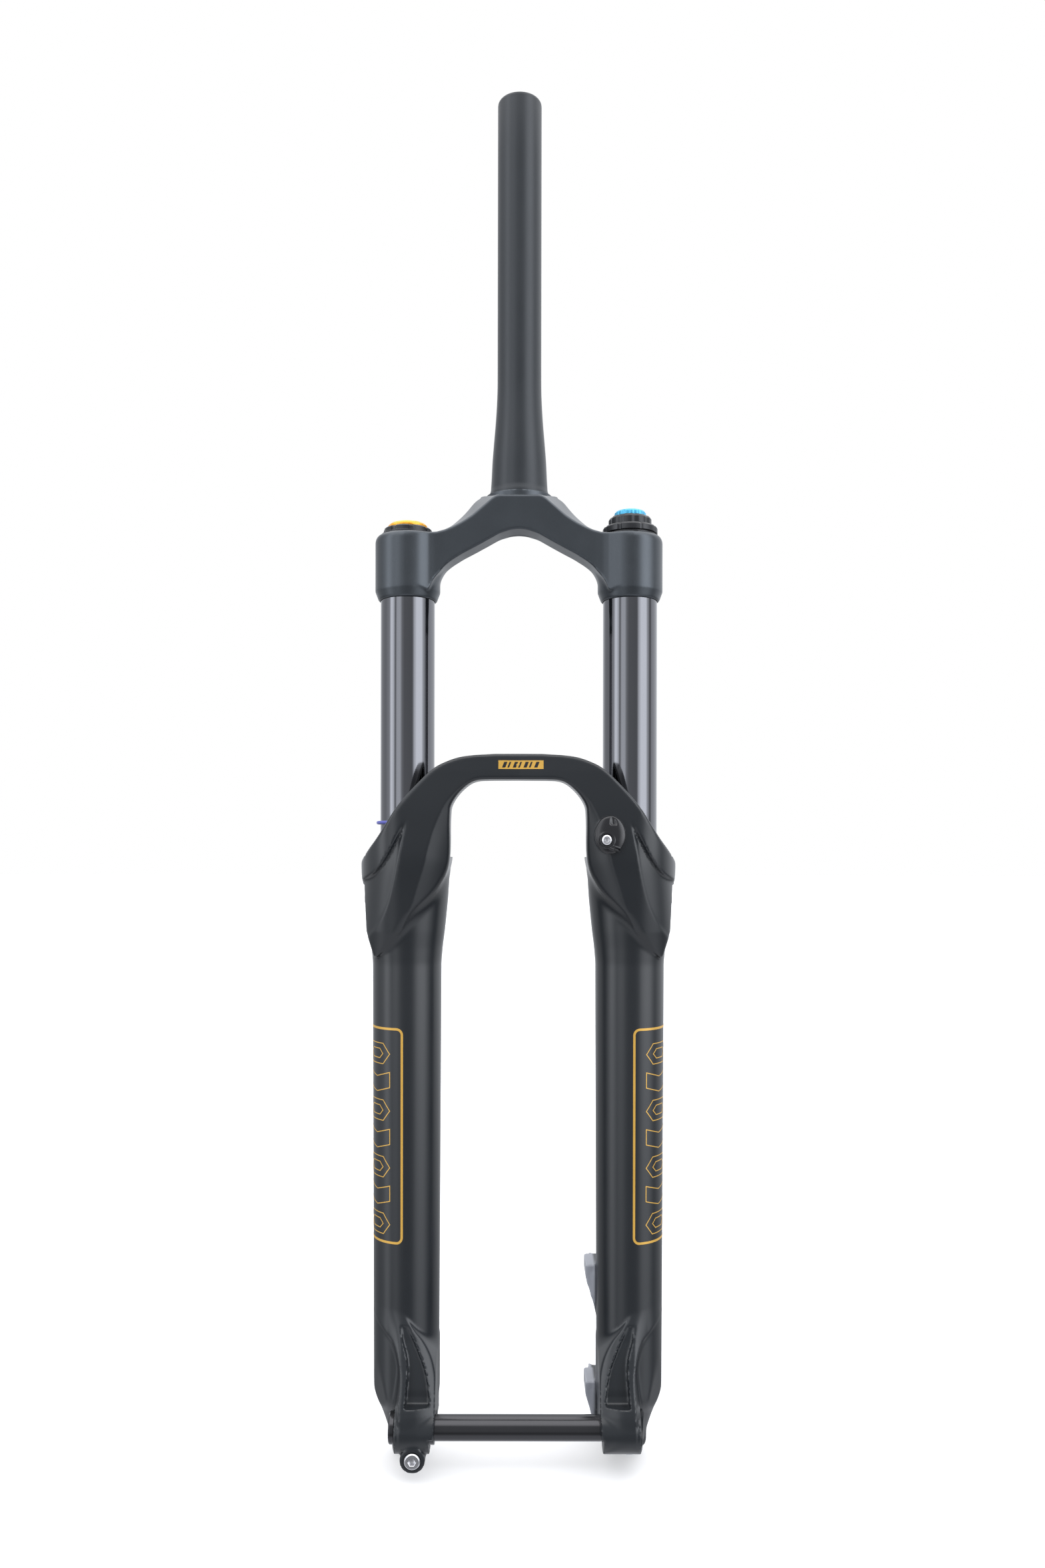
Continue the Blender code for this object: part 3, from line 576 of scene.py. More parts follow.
edge_out = [(-20, -171.6), (0, -171.6), (14, -171.7)] + smooth_line([(26, -172.4), (35, -173.7), (43, -176.4), (50.5, -180.4), (59, -188), (72, -202.4), (84.2, -220.4), (91.2, -229)], 5) + [
    (97.0, -236.0), (97.8, -237.6), (97.9, -240), (97.2, -250), (96.5, -260), (95.4, -270), (94.3, -280), (92.7, -290)]
edge_in = smooth_line([(17, -187.2), (24, -187.6), (29, -189.4), (34, -193.5), (38, -198.4), (40.5, -203.4), (41.1, -209), (41.3, -216), (41.3, -224), (41.5, -231), (42.1, -237), (43.1, -241.5)], 4)
soft_ridge = smooth_line([(44.6, -245.6), (50.4, -255.5), (60.3, -266), (67.5, -273.5), (74.5, -283), (81, -292.5), (87, -299)], 4)
crease = smooth_line([(17, -187.3), (23.8, -187.9), (29.5, -189.6), (35, -192.6), (39.5, -196.4), (42.8, -200.2), (46.3, -206.3), (50.7, -216.6), (54.3, -228), (56.7, -238.4), (60.9, -251.5), (65, -264.3), (70.6, -278.4), (77.1, -289.3), (83.5, -297)], 4)
SIL = edge_out + [(91.6, -297)] + soft_ridge[::-1] + edge_in[::-1] + [(-20, -187)]
PANEL = edge_out + [(91.6, -297)] + crease[::-1] + [(-20, -187)]
groove = smooth_line([(66.0, -207.5), (69.6, -214.5), (74.6, -224), (80.2, -233.8), (85.8, -241.1), (90.5, -244.8), (96, -247.2), (101, -248.6)], 4)
ridge = smooth_line([(66.0, -207.5), (68.2, -217), (70.6, -228), (74, -245.6), (78.8, -262.4), (85.7, -275.5), (93.1, -284.0), (99, -289)], 4)
TEAR = groove + ridge[::-1]

m_sil = Map2(-2, 106, -316, -164, 0.5, lambda a, b: polygon_sd(a, b, SIL))
m_panel = Map2(-2, 106, -316, -164, 0.5, lambda a, b: polygon_sd(a, b, PANEL))


def tear_depth(a, b):
    inside = polygon_sd(a, b, TEAR) < 0
    da, db = line_dist(a, b, groove), line_dist(a, b, ridge)
    f = np.clip(db / (da + db + 1e-6), 0, 1)
    wall = 1.0 - np.exp(-(da / 1.1) ** 2)
    start = np.clip(np.hypot(a - 66.0, b + 207.5) / 15.0, 0, 1) ** 1.15
    lip = 0.45 * (1.0 - np.exp(-(db / 0.7) ** 2))
    v = np.where(inside, (3.2 * f ** 0.9 + lip) * wall * start, 0.0)
    for _ in range(2):
        v[1:-1] = 0.25 * v[:-2] + 0.5 * v[1:-1] + 0.25 * v[2:]
        v[:, 1:-1] = 0.25 * v[:, :-2] + 0.5 * v[:, 1:-1] + 0.25 * v[:, 2:]
    return v


m_tear = Map2(-2, 106, -316, -164, 0.4, tear_depth)
m_ribs = Map2(-2, 106, -316, -164, 0.5, lambda a, b: np.minimum.reduce([np.abs(a - 0.0), np.abs(a - 19.0 - 0.30 * (b + 180)), np.abs(a - 38.0 - 0.45 * (b + 190)), line_dist(a, b, [(52, -200), (76, -222)]), line_dist(a, b, [(45, -215), (66, -232)])]))

z_leg = np.array([-604.0, -603.0, -601.5, -599.0, -594.0, -588.8, -583.7, -578.6, -573.8, -569.5, -566.0, -460.0, -330.0, -300.0, -290.0, -280.0, -270.0, -260.0, -250.0, -240.0, -230.0])
r_leg = np.array([10.0, 10.6, 11.0, 11.0, 11.1, 12.6, 14.3, 16.2, 18.7, 20.3, 20.5, 20.9, 21.5, 21.6, 22.6, 24.0, 25.1, 26.1, 26.8, 27.4, 27.6])
z_fine = np.arange(-606.0, -228.0, 0.5)
r_fine = np.interp(z_fine, z_leg, r_leg)
k5 = np.exp(-0.5 * (np.arange(-12, 13) * 0.5 / 1.4) ** 2)
k5 /= k5.sum()
r_fine = np.convolve(np.pad(r_fine, 12, mode="edge"), k5, mode="valid")
r_back = np.interp(z_fine, [-606, -300, -285, -262, -250, -228], [0, 0, 0.8, 1.6, 2.1, 2.4])
z_depth = np.array([-330.0, -305.0, -296.0, -280.0, -260.0, -236.0, -200.0, -160.0])
y_depth = np.array([20.6, 21.6, 23.8, 28.2, 32.8, 38.2, 40.7, 40.9])
z_even = np.arange(-340.0, -140.0, 0.5)
k6 = np.exp(-0.5 * (np.arange(-36, 37) * 0.5 / 6.0) ** 2)
k6 /= k6.sum()
y_even = np.convolve(np.pad(np.interp(z_even, z_depth, y_depth), 36, mode="edge"), k6, mode="valid")

TONGUE = smooth_line([(78, -502), (72.5, -511), (67.0, -519), (63.2, -524.7), (59.3, -529.8), (55.8, -536), (53.2, -542.7), (51.5, -550.4), (50.7, -557.4), (50.3, -566.5), (50.2, -583), (50.2, -606)], 4) + smooth_line(
    [(73.6, -606), (73.0, -585), (71.9, -570), (71.1, -559), (70.9, -550), (71.5, -544.5), (73.3, -537.8), (76.2, -531), (80.8, -525.2), (84.4, -521.2), (86.4, -518)], 4) + [(86.2, -508), (80, -500)]
arc = [(AXLE_Y - 14.2 * math.cos(a), AXLE_Z - 14.2 * math.sin(a)) for a in [math.radians(d) for d in range(4, 130, 9)]]
SIDE = smooth_line([(-40, -490), (-44.5, -506), (-47.4, -517), (-51.2, -531), (-56.2, -545), (-60.8, -558), (-64.0, -570), (-65.1, -579)], 4) + arc + [(-30, -596), (-22, -590), (-22, -490)]
POCKET = smooth_line([(71.5, -521), (70.1, -530.7), (67.8, -538), (66.9, -544.7), (67.0, -551.6), (67.5, -558.9), (68.0, -565)], 3) + [(67.4, -565.9), (54.0, -565.9), (53.4, -565)] + smooth_line([(53.5, -561), (54.2, -556), (55.0, -551.1), (56.8, -544.8), (58.8, -539.9), (61.0, -535), (64.0, -528.8), (67.6, -521.5)], 3)
m_tongue = Map2(40, 96, -612, -480, 0.5, lambda a, b: polygon_sd(a, b, TONGUE))
m_side = Map2(-80, -10, -612, -480, 0.5, lambda a, b: polygon_sd(a, b, SIDE))
m_pocket = Map2(40, 96, -612, -480, 0.4, lambda a, b: polygon_sd(a, b, POCKET))
front_z = np.array([-600.0, -579.0, -570.0, -558.0, -545.0, -531.0, -517.0, -506.0, -490.0])
front_y = np.array([-65.1, -65.1, -64.0, -60.8, -56.2, -51.2, -47.4, -44.5, -40.0])
TAB = [(43.0, -500.8), (43.0, -493.5), (43.8, -492.7), (60, -492.7), (62, -520), (58, -541), (53, -533), (48.2, -518.0)]
m_tab = Map2(38, 80, -560, -480, 0.5, lambda a, b: polygon_sd(a, b, TAB))


def casting(x, y, z):
    out = np.full(x.shape, 50.0)
    ax = np.abs(x)
    # legs, with the flared collar
    rx, ry = ax - LEG_X, y - LEG_Y
    rad = np.hypot(rx, ry)
    idx = np.clip((z + 606.0) / 0.5, 0, len(r_fine) - 1.001)
    i0 = idx.astype(np.int64)
    fr = idx - i0
    R = r_fine[i0] * (1 - fr) + r_fine[i0 + 1] * fr
    back = r_back[i0]
    R = R - back * np.clip((ry + 4.0) / 22.0, 0, 1)
    d = (rad - R) * np.where(z < -568.0, 0.86, 0.985)
    # a flat on the outer front of the foot
    flat = 0.845 * rx - 0.527 * ry - 0.115 * (z + 551.0) - 20.32
    d = smax(d, np.where(z < -540.0, flat, -9.0), 0.7)
    top = -241.5 + np.clip((-ry - 12.0) / 10.0, 0, 1) * 4.0
    d = smax(d, z - top, 1.6)
    d = smax(d, -603.2 - z, 1.2)
    out = d
    # arch and shoulders
    m = z > -318.0
    if m.any():
        a, yy, zz = ax[m], y[m], z[m]
        sil, pan, tear = m_sil(a, zz), m_panel(a, zz), m_tear(a, zz)
        D = np.interp(zz, z_even, y_even)
        u = a - LEG_X
        u = np.clip(np.where(u > 0, u / 28.9, -u / 200.0), 0, 0.999)
        front = LEG_Y - D * (1.0 - u ** 2.08) ** (1.0 / 2.08)
        t = np.maximum(pan + 0.35, 0.0)
        t = t * t / (t + 0.7)
        front = front + 0.50 * t + 0.020 * t * t
        # the arch leans back a little at its upper edge
        front = front + 0.10 * np.maximum(zz + 182.0, 0.0)
        front = front + tear
        slope = np.where(pan > 0, 0.76, 0.93)
        low = np.clip((-236.0 - zz) / 34.0, 0, 1) * np.clip((86.0 - a) / 12.0, 0, 1)
        w = smax((front - yy) * slope, sil, np.where(zz > -205, 2.2, 1.8) + 3.5 * low)
        rear = np.where(zz > -233.4, -47.4, -24.0)
        w = smax(w, yy - rear, 1.0)
        # weight-saving hollows in the arch's back, with ribs between them
        hol = smax(sil + 3.6, front + 4.2 - yy, 1.2)
        hol = np.maximum(hol, -238.0 + 9.0 - zz)
        hol = smax(hol, 1.3 - m_ribs(a, zz), 1.2)
        w = smax(w, -hol, 0.8)
        # oval pad for the hose guide, on the disc side
        pad = (np.hypot((x[m] - 54.8) / 8.4, (zz + 220.4) / 10.6) - 1.0) * 8.4
        pad = smax(pad, np.maximum(-66.7 - yy, yy + 54.0), 0.5)
        w = smin(w, pad, 0.9)
        rise = np.clip((zz + 301.0) / 21.0, 0.0, 1.0)
        out[m] = smin(out[m], w + (1 - rise) * 3.0, 0.4 + 0.8 * np.clip((-236.0 - zz) / 20.0, 0, 1) + 4.4 * low)
        # shallow panel on the outer side of the collar
        surf = a - (97.2 - 0.10 * np.maximum(-250.0 - zz, 0.0))
        slot = np.maximum(np.abs(zz + 267.5) - 16.5, np.abs(yy + 27.0) - 13.5 + 0.18 * (zz + 267.5) * 0)
        slot = smax(slot, -(surf + 1.5), 0.6)
        out[m] = smax(out[m], -slot, 0.6)
    # dropouts
    m = z < -484.0
    if m.any():
        a, xx, yy, zz = ax[m], x[m], y[m], z[m]
        fy = np.interp(zz, front_z, front_y)
        depth = np.maximum(yy - fy, 0.0)
        side = m_side(yy, zz)
        t = smax(m_tongue(a, zz) - 0.20 * np.minimum(depth, 26.0), side, 1.3)
        t = smax(t, rad[m] - 20.4 - np.maximum(-46.2 - fy, 0.0) * (1.0 - 0.8 * np.clip((a - LEG_X - 1.0) / 9.0, 0, 1)), 1.0)
        # recessed lower half of the hub face, so that the hub slides up into place
        lug = np.maximum(np.hypot(yy - AXLE_Y, zz - AXLE_Z) - 14.2, np.abs(a - 62.3) - 12.3)
        t = smin(t, lug + 0.3, 1.0)
        step = np.where(xx < 0, 53.4, 51.9)
        gap = np.maximum(a - step, zz + 583.2)
        t = smax(t, -gap, 0.5)
        t = smax(t, 50.0 - a, 0.4)
        # thin-lipped pocket in the front
        pk = smax(m_pocket(a, zz), yy - (fy + 1.0 + 7.0 * np.clip((-522.0 - zz) / 40.0, 0, 1)), 1.6)
        t = smax(t, -pk, 0.8)
        o = smin(out[m], t, 0.5 + 1.7 * np.clip((-512.0 - zz) / 18.0, 0, 1))
        o = smax(o, -np.where(zz > -573.5, 9.0, smax(pk, -9.0 + 0 * pk, 0.5)), 0.5)
        # pinch boss on the air side
        boss = smax(np.hypot(xx + 63.0, zz + 595.4) - 7.6, np.abs(yy + 51.2) - 13.3, 0.8)
        o = smin(o, boss, 1.2)
        # brake posts on the disc side
        dxp = xx - 51.5
        for zc in (-505.5, -579.7):
            tab = smax(m_tab(xx, zz - (zc + 505.5)), np.maximum(np.maximum(yy + 3.0, -24.0 - yy), zc - 17.0 - zz), 0.8)
            post = smax(np.hypot(dxp, zz - zc) - 7.2, np.maximum(yy - 12.0, -16.0 - yy), 0.7)
            arm = smax(np.maximum(np.abs(zz - zc) - 7.0, 47.0 - xx), np.maximum(0.75 * (xx - 60.0) + 0.66 * (yy - 2.0), -24.0 - yy), 1.2)
            arm = smax(arm, xx - 74.0, 1.0)
            o = smin(o, smin(smin(tab, post, 1.6), arm, 1.6), 2.0)
        rib = smax(np.maximum(np.abs(xx - 60.5) - 4.4, np.abs(zz + 542.6) - 37.0), np.maximum(yy + 1.0 - 2.2 * ((zz + 542.6) / 37.0) ** 2, -20.0 - yy), 1.4)
        o = smin(o, rib, 2.4)
        out[m] = o
    return out


verts, quads = skin(casting, (-101, -74, -607), (101, 15, -166), GRID)
print("casting skin", len(verts), len(quads))
cast = place("lower_casting_shell", mesh_fast("lower_casting_shell", verts, quads), "casting_black", None)
cuts = []
for sx in (-1, 1):
    bore = [(0, -616), (5.4, -616), (5.4, -566.0), (17.6, -566.0), (17.6, -546.0), (19.2, -538.0), (19.2, -256.6), (22.5, -256.6), (22.5, -241.9), (24.0, -241.9), (24.0, -230.0), (0, -230.0)]
    cuts.append((lathe(bore, 96), (sx * LEG_X, LEG_Y, 0)))
    cuts.append((rod(9.0, -606.0, -603.6, 64), (sx * LEG_X, LEG_Y, -0.0)))
cuts.append((rod(9.8, -90, -40, 72, "X"), (0, AXLE_Y, AXLE_Z)))
cuts.append((rod(7.9, 40, 60, 72, "X"), (0, AXLE_Y, AXLE_Z)))
cuts.append((rod(10.6, 56, 90, 72, "X"), (0, AXLE_Y, AXLE_Z)))
cuts.append((cube(-90, -40, AXLE_Y - 0.8, AXLE_Y + 0.8, -620, AXLE_Z), (0, 0, 0)))
cuts.append((rod(2.9, -80, -20, 40, "Y"), (-63.0, 0, -595.4)))
cuts.append((rod(5.2, -80, -61.5, 48, "Y"), (-63.0, 0, -595.4)))
for zc in (-505.5, -579.7):
    cuts.append((lathe([(0, -3.0), (2.6, -3.0), (2.6, 11.3), (3.4, 12.1), (3.4, 22.0), (0, 22.0)], 40, "Y"), (51.5, 0, zc)))
cuts.append((rod(1.9, -80, -52, 32, "Y"), (52.6, 0, -223.4)))
combine(cast, cuts)
reshade(cast, 32.0)
print("casting", len(cast.data.polygons))

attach(cast, "lower_unit")
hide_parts("lower_casting")

# ------------------------------------------------------------------ crown
top_f = [(-4, -9.2), (0, -9.2), (12.5, -9.2), (14.6, -9.8), (17.1, -11.5), (20.6, -14.6), (25.2, -18.6), (28.8, -21.7), (32.5, -24.2), (36.1, -26.4), (41, -28.9), (46, -31.0), (51, -32.3), (62, -33.2), (74, -33.4), (92, -33.4)]
top_b = [(-5, -0.6), (17, -0.6), (19.1, -0.9), (21.2, -2.0), (23.4, -2.8), (25.5, -4.0), (27.7, -5.4), (29.8, -7.6), (31.9, -10.4), (34.1, -12.9), (36.2, -15.1), (38.4, -17.2), (40.5, -19.0), (43, -21.0), (50, -26.5), (58, -31.2), (66, -33.4), (92, -33.4)]
under_f = [(0, -30.6), (5, -31.1), (12, -33.4), (19, -37.4), (27, -41.8), (35, -46), (42, -50.4), (46.2, -53.8), (48.8, -57.2), (51.2, -59.8), (53.4, -62.8), (54.7, -66), (55.5, -69.3), (56.6, -70.2), (59, -67.5), (63, -66), (96, -66)]
xs = np.arange(-4, 96, 0.5)


def blur(v, sigma):
    k = np.exp(-0.5 * (np.arange(-16, 17) * 0.5 / sigma) ** 2)
    k /= k.sum()
    return np.convolve(np.pad(v, 16, mode="edge"), k, mode="valid")


zt_f = np.interp(xs, [q[0] for q in top_f], [q[1] for q in top_f])
zt_b = blur(np.interp(np.abs(xs), [q[0] for q in top_b], [q[1] for q in top_b]), 1.2)
zb_f = blur(np.interp(np.abs(xs), [q[0] for q in under_f], [q[1] for q in under_f]), 1.2)
front_f = blur(np.interp(np.abs(xs), [0, 47, 52, 56, 58.5, 61, 63, 66, 96], [-41.2, -41.2, -41.6, -42.4, -43.3, -44.4, -44.9, -45.2, -45.2]), 0.8)
ARMS = [(-6, -60), (96, -60), (96, -13), (76, -8.0)] + smooth_line([(70, -6.5), (58, -2.6), (46, 1.6), (36, 6.4), (30, 12), (25, 20)], 4) + [(-6, 24)]
m_arms = Map2(-4, 96, -52, 34, 0.5, lambda a, b: polygon_sd(a, b, ARMS))
BOSS = [(-4, -31.8), (22.5, -31.8)] + smooth_line([(24.0, -31.0), (26.4, -26.6), (28.0, -20.5), (28.4, -13.5), (27.6, -6.0)], 3) + [(25.4, 0.0), (-4, 0.0)]
m_boss = Map2(0, 40, -40, 8, 0.4, lambda a, b: polygon_sd(a, b, BOSS))


def crown_field(x, y, z):
    ax = np.abs(x)
    tf, tb = np.interp(ax, xs, zt_f), np.interp(ax, xs, zt_b)
    bf = np.interp(ax, xs, zb_f)
    w = np.clip((y + 41.0) / 27.0, 0, 1)
    top = tf + (tb - tf) * w
    behind = np.maximum(y + 24.0, 0.0)
    bottom = bf + 0.33 * behind + 0.02 * behind ** 2 * np.clip((ax - 14.0) / 8.0, 0, 1)
    front = np.interp(ax, xs, front_f)
    d = smax((z - top) * 0.86, (bottom - z) * 0.80, 1.4)
    d = smax(d, front - y, 1.5)
    d = smax(d, m_arms(ax, y), 2.2)
    d = smax(d, ax - LEG_X, 1.0)
    # the boss round the steerer: its top is a flat race seat, and slopes away in front of it; its underside rises to the rear
    r = np.hypot(x, y)
    d = smin(d, m_boss(r, z), 2.4)
    d = smax(d, np.minimum(r - 22.4, z + 0.4 + 0.262 * np.maximum(-y - 7.0, 0.0)), 0.5)
    d = smax(d, bf + 0.31 * behind - z, 1.2)
    rad = np.hypot(ax - LEG_X, y - LEG_Y)
    rr = np.interp(z, [-73.2, -67.2, -66.0], [18.1, 20.35, 20.4])
    c = (rad - rr) * 0.95
    c = smax(smax(c, -73.0 - z, 1.3), z + 31.7, 5.5)
    return smin(d, c, 1.6 + 2.8 * np.clip((y + 39.0) / 8.0, 0, 1))


vc, qc = skin(crown_field, (-94, -50, -76), (94, 32, 3), 0.75)
print("crown skin", len(vc), len(qc))
crown = place("crown_forging", mesh_fast("crown_forging", vc, qc), "crown_black", None)
cuts = []
for sx in (-1, 1):
    cuts.append((rod(17.3, -90, -10, 96), (sx * LEG_X, LEG_Y, 0)))
    cuts.append((lathe([(0, -32.4), (18.4, -32.4), (18.4, -32.2), (19.0, -31.4), (19.0, 10), (0, 10)], 96), (sx * LEG_X, LEG_Y, 0)))
cuts.append((rod(18.9, -60, 20, 128), (0, 0, 0)))
cuts.append((rod(20.2, -0.8, 20, 128), (0, 0, 0)))
combine(crown, cuts)
reshade(crown, 32.0)
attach(crown, "crown_unit")
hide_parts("crown")

# ------------------------------------------------------------------ steerer and stanchions
taper = smooth_line([(18.55, 5.6), (18.1, 13), (17.55, 24), (16.7, 35), (15.6, 48), (14.8, 60), (14.38, 71), (14.3, 84), (14.3, 100)], 5)
taper = [q for q in taper if q[1] <= 90]
prof = [(15.4, -28.8), (18.3, -28.8), (18.6, -28.4), (18.6, 0.3), (19.4, 0.3), (19.65, 0.6), (19.6, 1.6), (19.2, 3.0), (18.66, 4.7)] + taper + \
    [(14.3, 120), (14.3, 170), (14.3, 220), (14.3, 256.6), (14.15, 257.6), (13.8, 258.2), (13.2, 258.5), (12.5, 258.4), (12.0, 257.9), (12.0, 62), (15.2, 12)]
steerer = from_bm("steerer_tapered_tube", lathe(prof, 128), "steerer_black", None, 30)
# its lower end is trimmed on the slope of the crown's underside
wedge = bmesh.new()
ring = [[wedge.verts.new((xw, yw, zw)) for yw, zw in ((-30, -60), (30, -60), (30, -12.2), (-30, -31.4))] for xw in (-30, 30)]
wedge.faces.new(ring[0])
wedge.faces.new(ring[1][::-1])
for k in range(4):
    wedge.faces.new((ring[0][k], ring[1][k], ring[1][(k + 1) % 4], ring[0][(k + 1) % 4]))
combine(steerer, [(wedge, (0, 0, 0))])
reshade(steerer, 30)
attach(steerer, "crown_unit")
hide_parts("steerer_tube")
for side, sx in (("air", -1), ("damper", 1)):
    prof = soften([(15.4, -402), (17.0, -402), (17.0, -360), (17.0, -300), (17.0, -200), (17.0, -100), (17.0, -33), (15.4, -33)], [0.4, 1.2, 0, 0, 0, 0, 0.5, 0.3], 6)
    o = from_bm(f"stanchion_tube_{side}", lathe(prof, 128), "stanchion_black", "crown_unit", 30, (sx * LEG_X, LEG_Y, 0))
    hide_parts(f"stanchion_{side}")

# ------------------------------------------------------------------ top caps and dials


def pulses(count, depth, width=0.5, phase=0.0, z0=-1e9, z1=1e9):
    """A radius function that cuts evenly spaced notches, `width` of the pitch wide."""
    def f(a, r, z):
        if z < z0 or z > z1 or r < 3.0:
            return r
        t = ((a * count / (2 * math.pi) + phase) % 1.0) - 0.5
        e = (width / 2 - abs(t)) / 0.06
        return r - depth * min(1.0, max(0.0, e))
    return f


def scallops(count, depth, z0=-1e9, z1=1e9, phase=0.0, sharpness=1.0):
    def f(a, r, z):
        if z < z0 or z > z1 or r < 4.0:
            return r
        c = 0.5 + 0.5 * math.cos(count * a + phase)
        return r - depth * c ** sharpness
    return f


AIR, DAMP = (-LEG_X, LEG_Y, 0), (LEG_X, LEG_Y, 0)
prof = soften([(4.5, -50), (15.1, -50), (15.1, -32.7), (16.6, -32.7), (16.6, -31.0), (15.2, -30.6), (15.2, -28.2), (14.4, -27.5), (4.5, -27.5)], [0.3, 0.8, 0.2, 0.2, 0.4, 0.3, 0.3, 0.3, 0.2], 4)
o = from_bm("air_spring_top_cap", lathe(prof, 120, radial=pulses(8, 0.9, 0.34, 0.2, -31.0, -27.0)), "cap_black", "crown_unit", 28, AIR)
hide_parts("air_top_cap")
prof = soften([(0, -26.2), (4.6, -26.2), (4.6, -27.2), (12.1, -27.2), (12.6, -26.8), (12.5, -25.6), (11.2, -24.4), (9.2, -23.7), (5.5, -23.3), (0, -23.1)], [0, 0.2, 0.2, 0.3, 0.4, 0.9, 1.2, 2.0, 2.0, 0], 4)
cap = from_bm("air_valve_cap", lathe(prof, 144, radial=scallops(12, 0.30, -27.1, -24.6, 0.0, 2.0)), "gold_anodised", None, 28, AIR)
grip = bmesh.new()
rows = []
for k in range(13):
    t = -1 + 2 * k / 12
    half = 1.75 * (1 - 0.35 * abs(t) ** 3)
    zt = -21.6 - 0.9 * abs(t) ** 3
    loop = [(-half - 0.5, -25.3), (half + 0.5, -25.3), (half, zt - 0.5), (half * 0.7, zt), (-half * 0.7, zt), (-half, zt - 0.5)]
    rows.append([grip.verts.new((8.0 * t, yy, zz)) for yy, zz in loop])
for a, b in zip(rows, rows[1:]):
    for i in range(6):
        grip.faces.new((a[i], a[(i + 1) % 6], b[(i + 1) % 6], b[i]))
grip.faces.new(rows[0])
grip.faces.new(list(reversed(rows[-1])))
combine(cap, [(grip, AIR)], "UNION")
reshade(cap, 28)
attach(cap, "air_cap")
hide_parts("air_cap")

prof = soften([(6.7, -50), (15.1, -50), (15.1, -32.7), (16.6, -32.7), (16.6, -31.2), (16.0, -30.9), (17.3, -30.6), (17.3, -27.4), (16.5, -26.3), (6.7, -26.3)], [0.2, 0.8, 0.2, 0.2, 0.3, 0.2, 0.3, 0.5, 0.4, 0.2], 4)
o = from_bm("damper_top_cap_ring", lathe(prof, 144, radial=pulses(8, 0.7, 0.22, 0.1, -31.0, -26.0)), "cap_black", "crown_unit", 28, DAMP)
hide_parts("damper_top_cap")
prof = soften([(3.5, -44), (6.3, -44), (6.3, -25.9), (13.3, -25.9), (13.6, -25.5), (13.6, -21.6), (12.6, -20.1), (10.4, -19.9), (3.5, -19.9)], [0.2, 0.2, 0.3, 0.2, 0.2, 0.6, 0.5, 0.3, 0.2], 4)
o = from_bm("high_speed_compression_dial", lathe(prof, 144, radial=scallops(9, 0.55, -25.7, -19.95, 0.4, 3.0)), "cap_black", "high_speed_dial", 28, DAMP)
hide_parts("high_speed_dial")
prof = soften([(0, -48), (3.1, -48), (3.1, -19.6), (9.7, -19.6), (10.1, -19.2), (10.0, -17.2), (9.0, -16.1), (6.8, -15.75), (3.0, -15.9), (0, -16.3)], [0, 0.2, 0.2, 0.2, 0.2, 0.6, 0.8, 0.8, 1.0, 0], 4)
o = from_bm("low_speed_compression_knob", lathe(prof, 144, radial=scallops(18, 0.35, -19.5, -16.4, 0.0, 1.5)), "blue_anodised", "low_speed_knob", 28, DAMP)
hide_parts("low_speed_knob")

# ------------------------------------------------------------------ travel ring, wiper seals
pts = [(17.3 + 1.1 + 1.08 * math.cos(a), 1.08 * math.sin(a)) for a in [2 * math.pi * k / 20 for k in range(20)]]
o = from_bm("travel_indicator_ring", lathe(pts, 120), "ring_blue", "travel_ring", 60, (-LEG_X, LEG_Y, -212.5))
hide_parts("travel_ring")
for side, at in (("air", AIR), ("damper", DAMP)):
    prof = soften([(17.95, -252.3), (22.1, -252.3), (22.1, -241.2), (23.4, -241.2), (23.4, -240.1), (22.4, -239.7), (20.6, -239.0), (19.4, -238.0), (18.3, -237.5), (17.3, -237.55), (17.32, -238.6), (17.95, -240.0)], 0.3, 3)
    o = from_bm(f"wiper_seal_ring_{side}", lathe(prof, 120), "rubber_black", "lower_unit", 40, at)
    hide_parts(f"wiper_seal_{side}")

# ------------------------------------------------------------------ axle line
AX = (0, AXLE_Y, AXLE_Z)
prof = soften([(0, 72.0), (6.9, 72.0), (7.5, 71.2), (7.5, 40), (7.5, 0), (7.5, -40), (7.5, -74.8), (9.3, -74.8), (9.3, -77.5), (8.6, -78.2), (0, -78.2)], [0, 0.2, 0.3, 0, 0, 0, 0.1, 0.3, 0.4, 0.3, 0], 4)
axle = from_bm("thru_axle", lathe(prof, 96, "X"), "axle_black", None, 30, AX)
combine(axle, [(hexagon(3.46, -85, -71.5, "X"), AX)])
reshade(axle, 30)
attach(axle, "axle")
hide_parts("axle")
prof = soften([(7.8, -74.4), (9.5, -74.4), (9.5, -50.4), (7.8, -50.4)], 0.35, 4)
o = from_bm("axle_expander_sleeve", lathe(prof, 96, "X"), "axle_black", "axle_sleeve", 30, AX)
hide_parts("axle_sleeve")
prof = soften([(7.8, 56.4), (10.3, 56.4), (10.3, 72.9), (9.8, 73.4), (7.8, 73.4)], 0.3, 4)
o = from_bm("axle_thread_insert", lathe(prof, 96, "X"), "steel", "lower_unit", 30, AX)
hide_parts("axle_insert")

# pinch bolt with a hex socket
PB = (-63.0, 0, -595.4)
prof = soften([(0, -40), (2.5, -40), (2.5, -61.7), (4.9, -61.7), (4.95, -62.0), (4.95, -65.3), (4.3, -66.1), (0, -66.1)], [0, 0.3, 0.1, 0.2, 0.1, 0.6, 0.5, 0], 5)
bolt = from_bm("pinch_bolt_socket_head", lathe(prof, 72, "Y"), "steel", None, 30, PB)
combine(bolt, [(lathe([(0, -70), (2.6, -70), (2.6, -66.0), (2.3, -65.75), (2.3, -63.2), (0, -62.4)], 6, "Y"), PB)])
reshade(bolt, 30)
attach(bolt, "lower_unit")
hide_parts("pinch_bolt")

# ------------------------------------------------------------------ hose guide
GX, GZ = 54.8, -220.4


